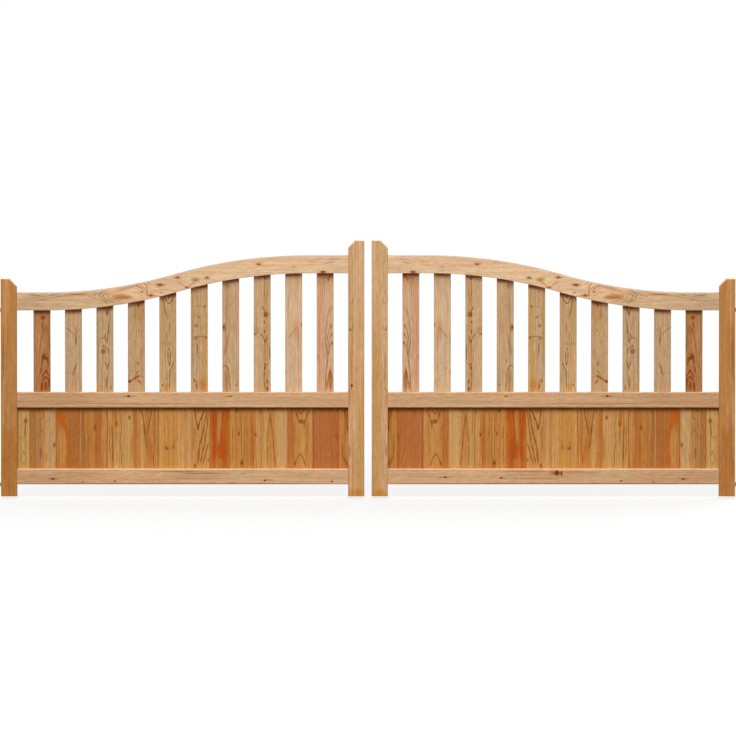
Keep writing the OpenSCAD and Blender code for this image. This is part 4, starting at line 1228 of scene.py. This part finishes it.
def timber_materials(leaf: Leaf) -> dict[str, bpy.types.Material]:
    """Builds a timber material for each member. The leaves share all but two of them.

    Args:
        leaf: A leaf, for its sizes.

    Returns:
        The materials by member.
    """
    board_seed, pale_seed = 10.0, 41.0  # boards and pales count on from these
    bevel_painted_light = -1.2  # the bevels of the V joints are painted lighter, against the shade in the joints
    mid_rail_shade_paint, top_rail_shade_paint = (90, 0.95), (60, 0.85)  # half width and strength of the shade painted under each rail
    bottom, top = BOARD_OPENING
    finishes: dict[str, TimberFinish] = {}
    for i, look in enumerate(BOARD_LOOKS, 1):
        origin = ((leaf.joints[i - 1] + leaf.joints[i]) / 2, INFILL_DEPTH, bottom)
        own = replace(look, eased=bevel_painted_light).with_painted_shade(top - bottom, *mid_rail_shade_paint)
        finishes[f"board_{i}"] = TimberFinish(f"larch board {i}", origin, own, board_seed + i)
    for i, look in enumerate(PALE_LOOKS, 1):
        middle = leaf.pale_middle(i)
        origin = (middle, INFILL_DEPTH, PALE_FOOT)
        own = look.with_painted_shade(leaf.neck_height(middle) - leaf.top_rail / 2 - PALE_FOOT, *top_rail_shade_paint)
        finishes[f"pale_{i}"] = TimberFinish(f"larch pale {i}", origin, own, pale_seed + i)
    hanging, meeting = (leaf.stile / 2, 0, 0), (LEAF_WIDTH - leaf.stile / 2, 0, 0)
    swan, mid, low = (0, 0, leaf.neck_heights[0]), (0, 0, top + RAIL / 2), (0, 0, bottom - RAIL / 2)
    level = partial(TimberFinish, grain=Grain.LEVEL)
    finishes |= {
        "hanging_stile": TimberFinish("larch hanging stile", hanging, HANGING_LOOK, 71.0),
        "right_meeting_stile": TimberFinish("larch meeting stile, right leaf", meeting, MEETING_LOOK, 77.0),
        "meeting_stile": TimberFinish("larch meeting stile", meeting, LEFT_MEETING_LOOK, 72.0),
        "top_rail": level("larch top rail", swan, TOP_LOOK, 73.0),
        "mid_rail": level("larch mid rail", mid, MID_LOOK, 74.0),
        "bottom_rail": level("larch bottom rail", low, LEFT_BOTTOM_LOOK, 75.0),
        "right_bottom_rail": level("larch bottom rail, right leaf", low, RIGHT_BOTTOM_LOOK, 76.0),
    }
    groups = TimberGroups()
    return {member: finish.material(groups) for member, finish in finishes.items()}


@dataclass
class Studio:
    """Pale floor, soft lamps and a far camera.

    Attributes:
        floor_z: Height of the floor, in metres.
        floor_side: Side of the floor, in metres.
        floor_seen: The floor's colour in sight.
        floor_lit: The duller colour with which it lights the gate from below.
        floor_glow: The share of the backdrop's colour in the floor in sight. The rest keeps the shadow.
        lamps: Name, azimuth, elevation, strength and spread of each lamp, with its angles in degrees.
        backdrop: The world's colour.
        sky: Strength of the world as it lights the gate. In sight it is 1.
        view_elevation: Elevation of the camera, in degrees.
        view_distance: Distance of the camera, in metres.
        view_width: Width that the picture takes in at the gate, in metres.
        aim_height: Height of the middle of the picture on the frame's front face, in metres.
    """

    floor_z: float = -0.074
    floor_side: float = 90.0
    floor_seen: str = "#e8e8e8"
    floor_lit: str = "#8f8f8f"
    floor_glow: float = 0.75
    lamps: tuple[tuple[str, float, float, float, float], ...] = (
        ("key", -6.0, 40.0, 2.46, 28.0),
        ("back", 150.0, 40.0, 1.6, 50.0),
    )
    backdrop: str = "#ffffff"
    sky: float = 0.5
    view_elevation: float = 7.0
    view_distance: float = 80.0
    view_width: float = 3.036
    aim_height: float = 0.4698

    def build(self) -> None:
        """Builds the floor, the lamps, the world and the camera."""
        self.build_floor()
        self.build_lamps()
        self.build_world()
        self.build_camera()
        bpy.context.scene.view_settings.view_transform = "Standard"

    def build_floor(self) -> None:
        """Builds a plain floor that looks white and keeps the gate's shadow."""
        bpy.ops.object.select_all(action="DESELECT")
        bpy.ops.mesh.primitive_plane_add(size=self.floor_side, location=(GATE_MID_X * MM, 0, self.floor_z))
        floor = bpy.context.object
        floor.name = "floor"
        made, node = new_material("pale floor")
        seen = self.seen(node)
        tint = node("Mix", {"Factor": seen, "A": linear(self.floor_lit), "B": linear(self.floor_seen)},
                    data_type="RGBA")
        glow = node("Math.MULTIPLY", seen, self.floor_glow)
        plain = node("Emission", linear(self.backdrop), 1.0)
        node("OutputMaterial", node("MixShader", glow, node("BsdfDiffuse", tint), plain))
        floor.data.materials.append(made)

    def build_lamps(self) -> None:
        """Hangs a soft key in front and a softer lamp behind."""
        away = 10.0  # in metres, though a sun lamp shines the same from anywhere
        for name, azimuth, elevation, strength, spread in self.lamps:
            lamp = bpy.data.lights.new(name, "SUN")
            lamp.energy = strength
            lamp.angle = math.radians(spread)
            self.place(name, lamp, Vector(), self.direction(azimuth, elevation), away)

    def build_world(self) -> None:
        """Gives even light from all round, and a white backdrop."""
        world = bpy.data.worlds.new("studio")
        bpy.context.scene.world = world
        world.use_nodes = True
        world.node_tree.nodes.clear()
        node = partial(add, world.node_tree)
        strength = node("MapRange", self.seen(node), 0.0, 1.0, self.sky, 1.0)
        node("OutputWorld", node("Background", linear(self.backdrop), strength))

    def build_camera(self) -> None:
        """Sets a long lens far in front and a little above, so that uprights stay upright."""
        lens = bpy.data.cameras.new("camera")
        lens.lens = lens.sensor_width * self.view_distance / self.view_width
        lens.clip_end = 3 * self.view_distance
        aim = Vector((GATE_MID_X * MM, FRONT_Y * MM, self.aim_height))
        towards = self.direction(0.0, self.view_elevation)
        bpy.context.scene.camera = self.place("camera", lens, aim, towards, self.view_distance)

    @staticmethod
    def place(name: str, data: bpy.types.ID, aim: Vector, towards: Vector,
              distance: float) -> bpy.types.Object:
        """Places a lamp or the camera so that it looks back at a point.

        Args:
            name: Its name.
            data: The lamp or the lens.
            aim: The point, in metres.
            towards: The way from the point to it.
            distance: How far from the point it is, in metres.

        Returns:
            The new object.
        """
        holder = bpy.data.objects.new(name, data)
        bpy.context.scene.collection.objects.link(holder)
        holder.location = aim + towards * distance
        holder.rotation_euler = towards.to_track_quat("Z", "Y").to_euler()
        return holder

    @staticmethod
    def seen(node: partial) -> bpy.types.Node:
        """Adds nodes that tell a ray that shows the surface, straight or mirrored, from one that lights.

        Args:
            node: The call that adds a node to the surface.

        Returns:
            The node that gives 1 to a ray that shows and 0 to one that lights.
        """
        path = node("LightPath").outputs
        shown = node("Math.ADD", path["Is Camera Ray"], path["Is Glossy Ray"])
        return node("Math.ADD", shown, path["Is Transmission Ray"], use_clamp=True)

    @staticmethod
    def direction(azimuth: float, elevation: float) -> Vector:
        """Unit vector from the gate towards an azimuth, from the front to the right, and an elevation."""
        a, e = math.radians(azimuth), math.radians(elevation)
        return Vector((math.sin(a) * math.cos(e), -math.cos(a) * math.cos(e), math.sin(e)))


def main() -> None:
    """Builds the finishes, both leaves, their hinges and the studio."""
    logging.basicConfig(level=logging.INFO, format="%(name)s: %(message)s")
    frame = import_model()
    nodes = frame["nodes"]
    leaves = [Leaf(side) for side in Side]
    timber = timber_materials(leaves[0])
    zinc = ZincFinish().material()
    for leaf in leaves:
        leaf.build(nodes, timber, zinc)
        Hinge(leaf.side, Level.LOWER, BOARD_OPENING[0] - RAIL / 2).build(nodes, zinc)
        Hinge(leaf.side, Level.UPPER, leaf.neck_heights[0]).build(nodes, zinc)
    Studio().build()


if __name__ == "__main__":
    main()
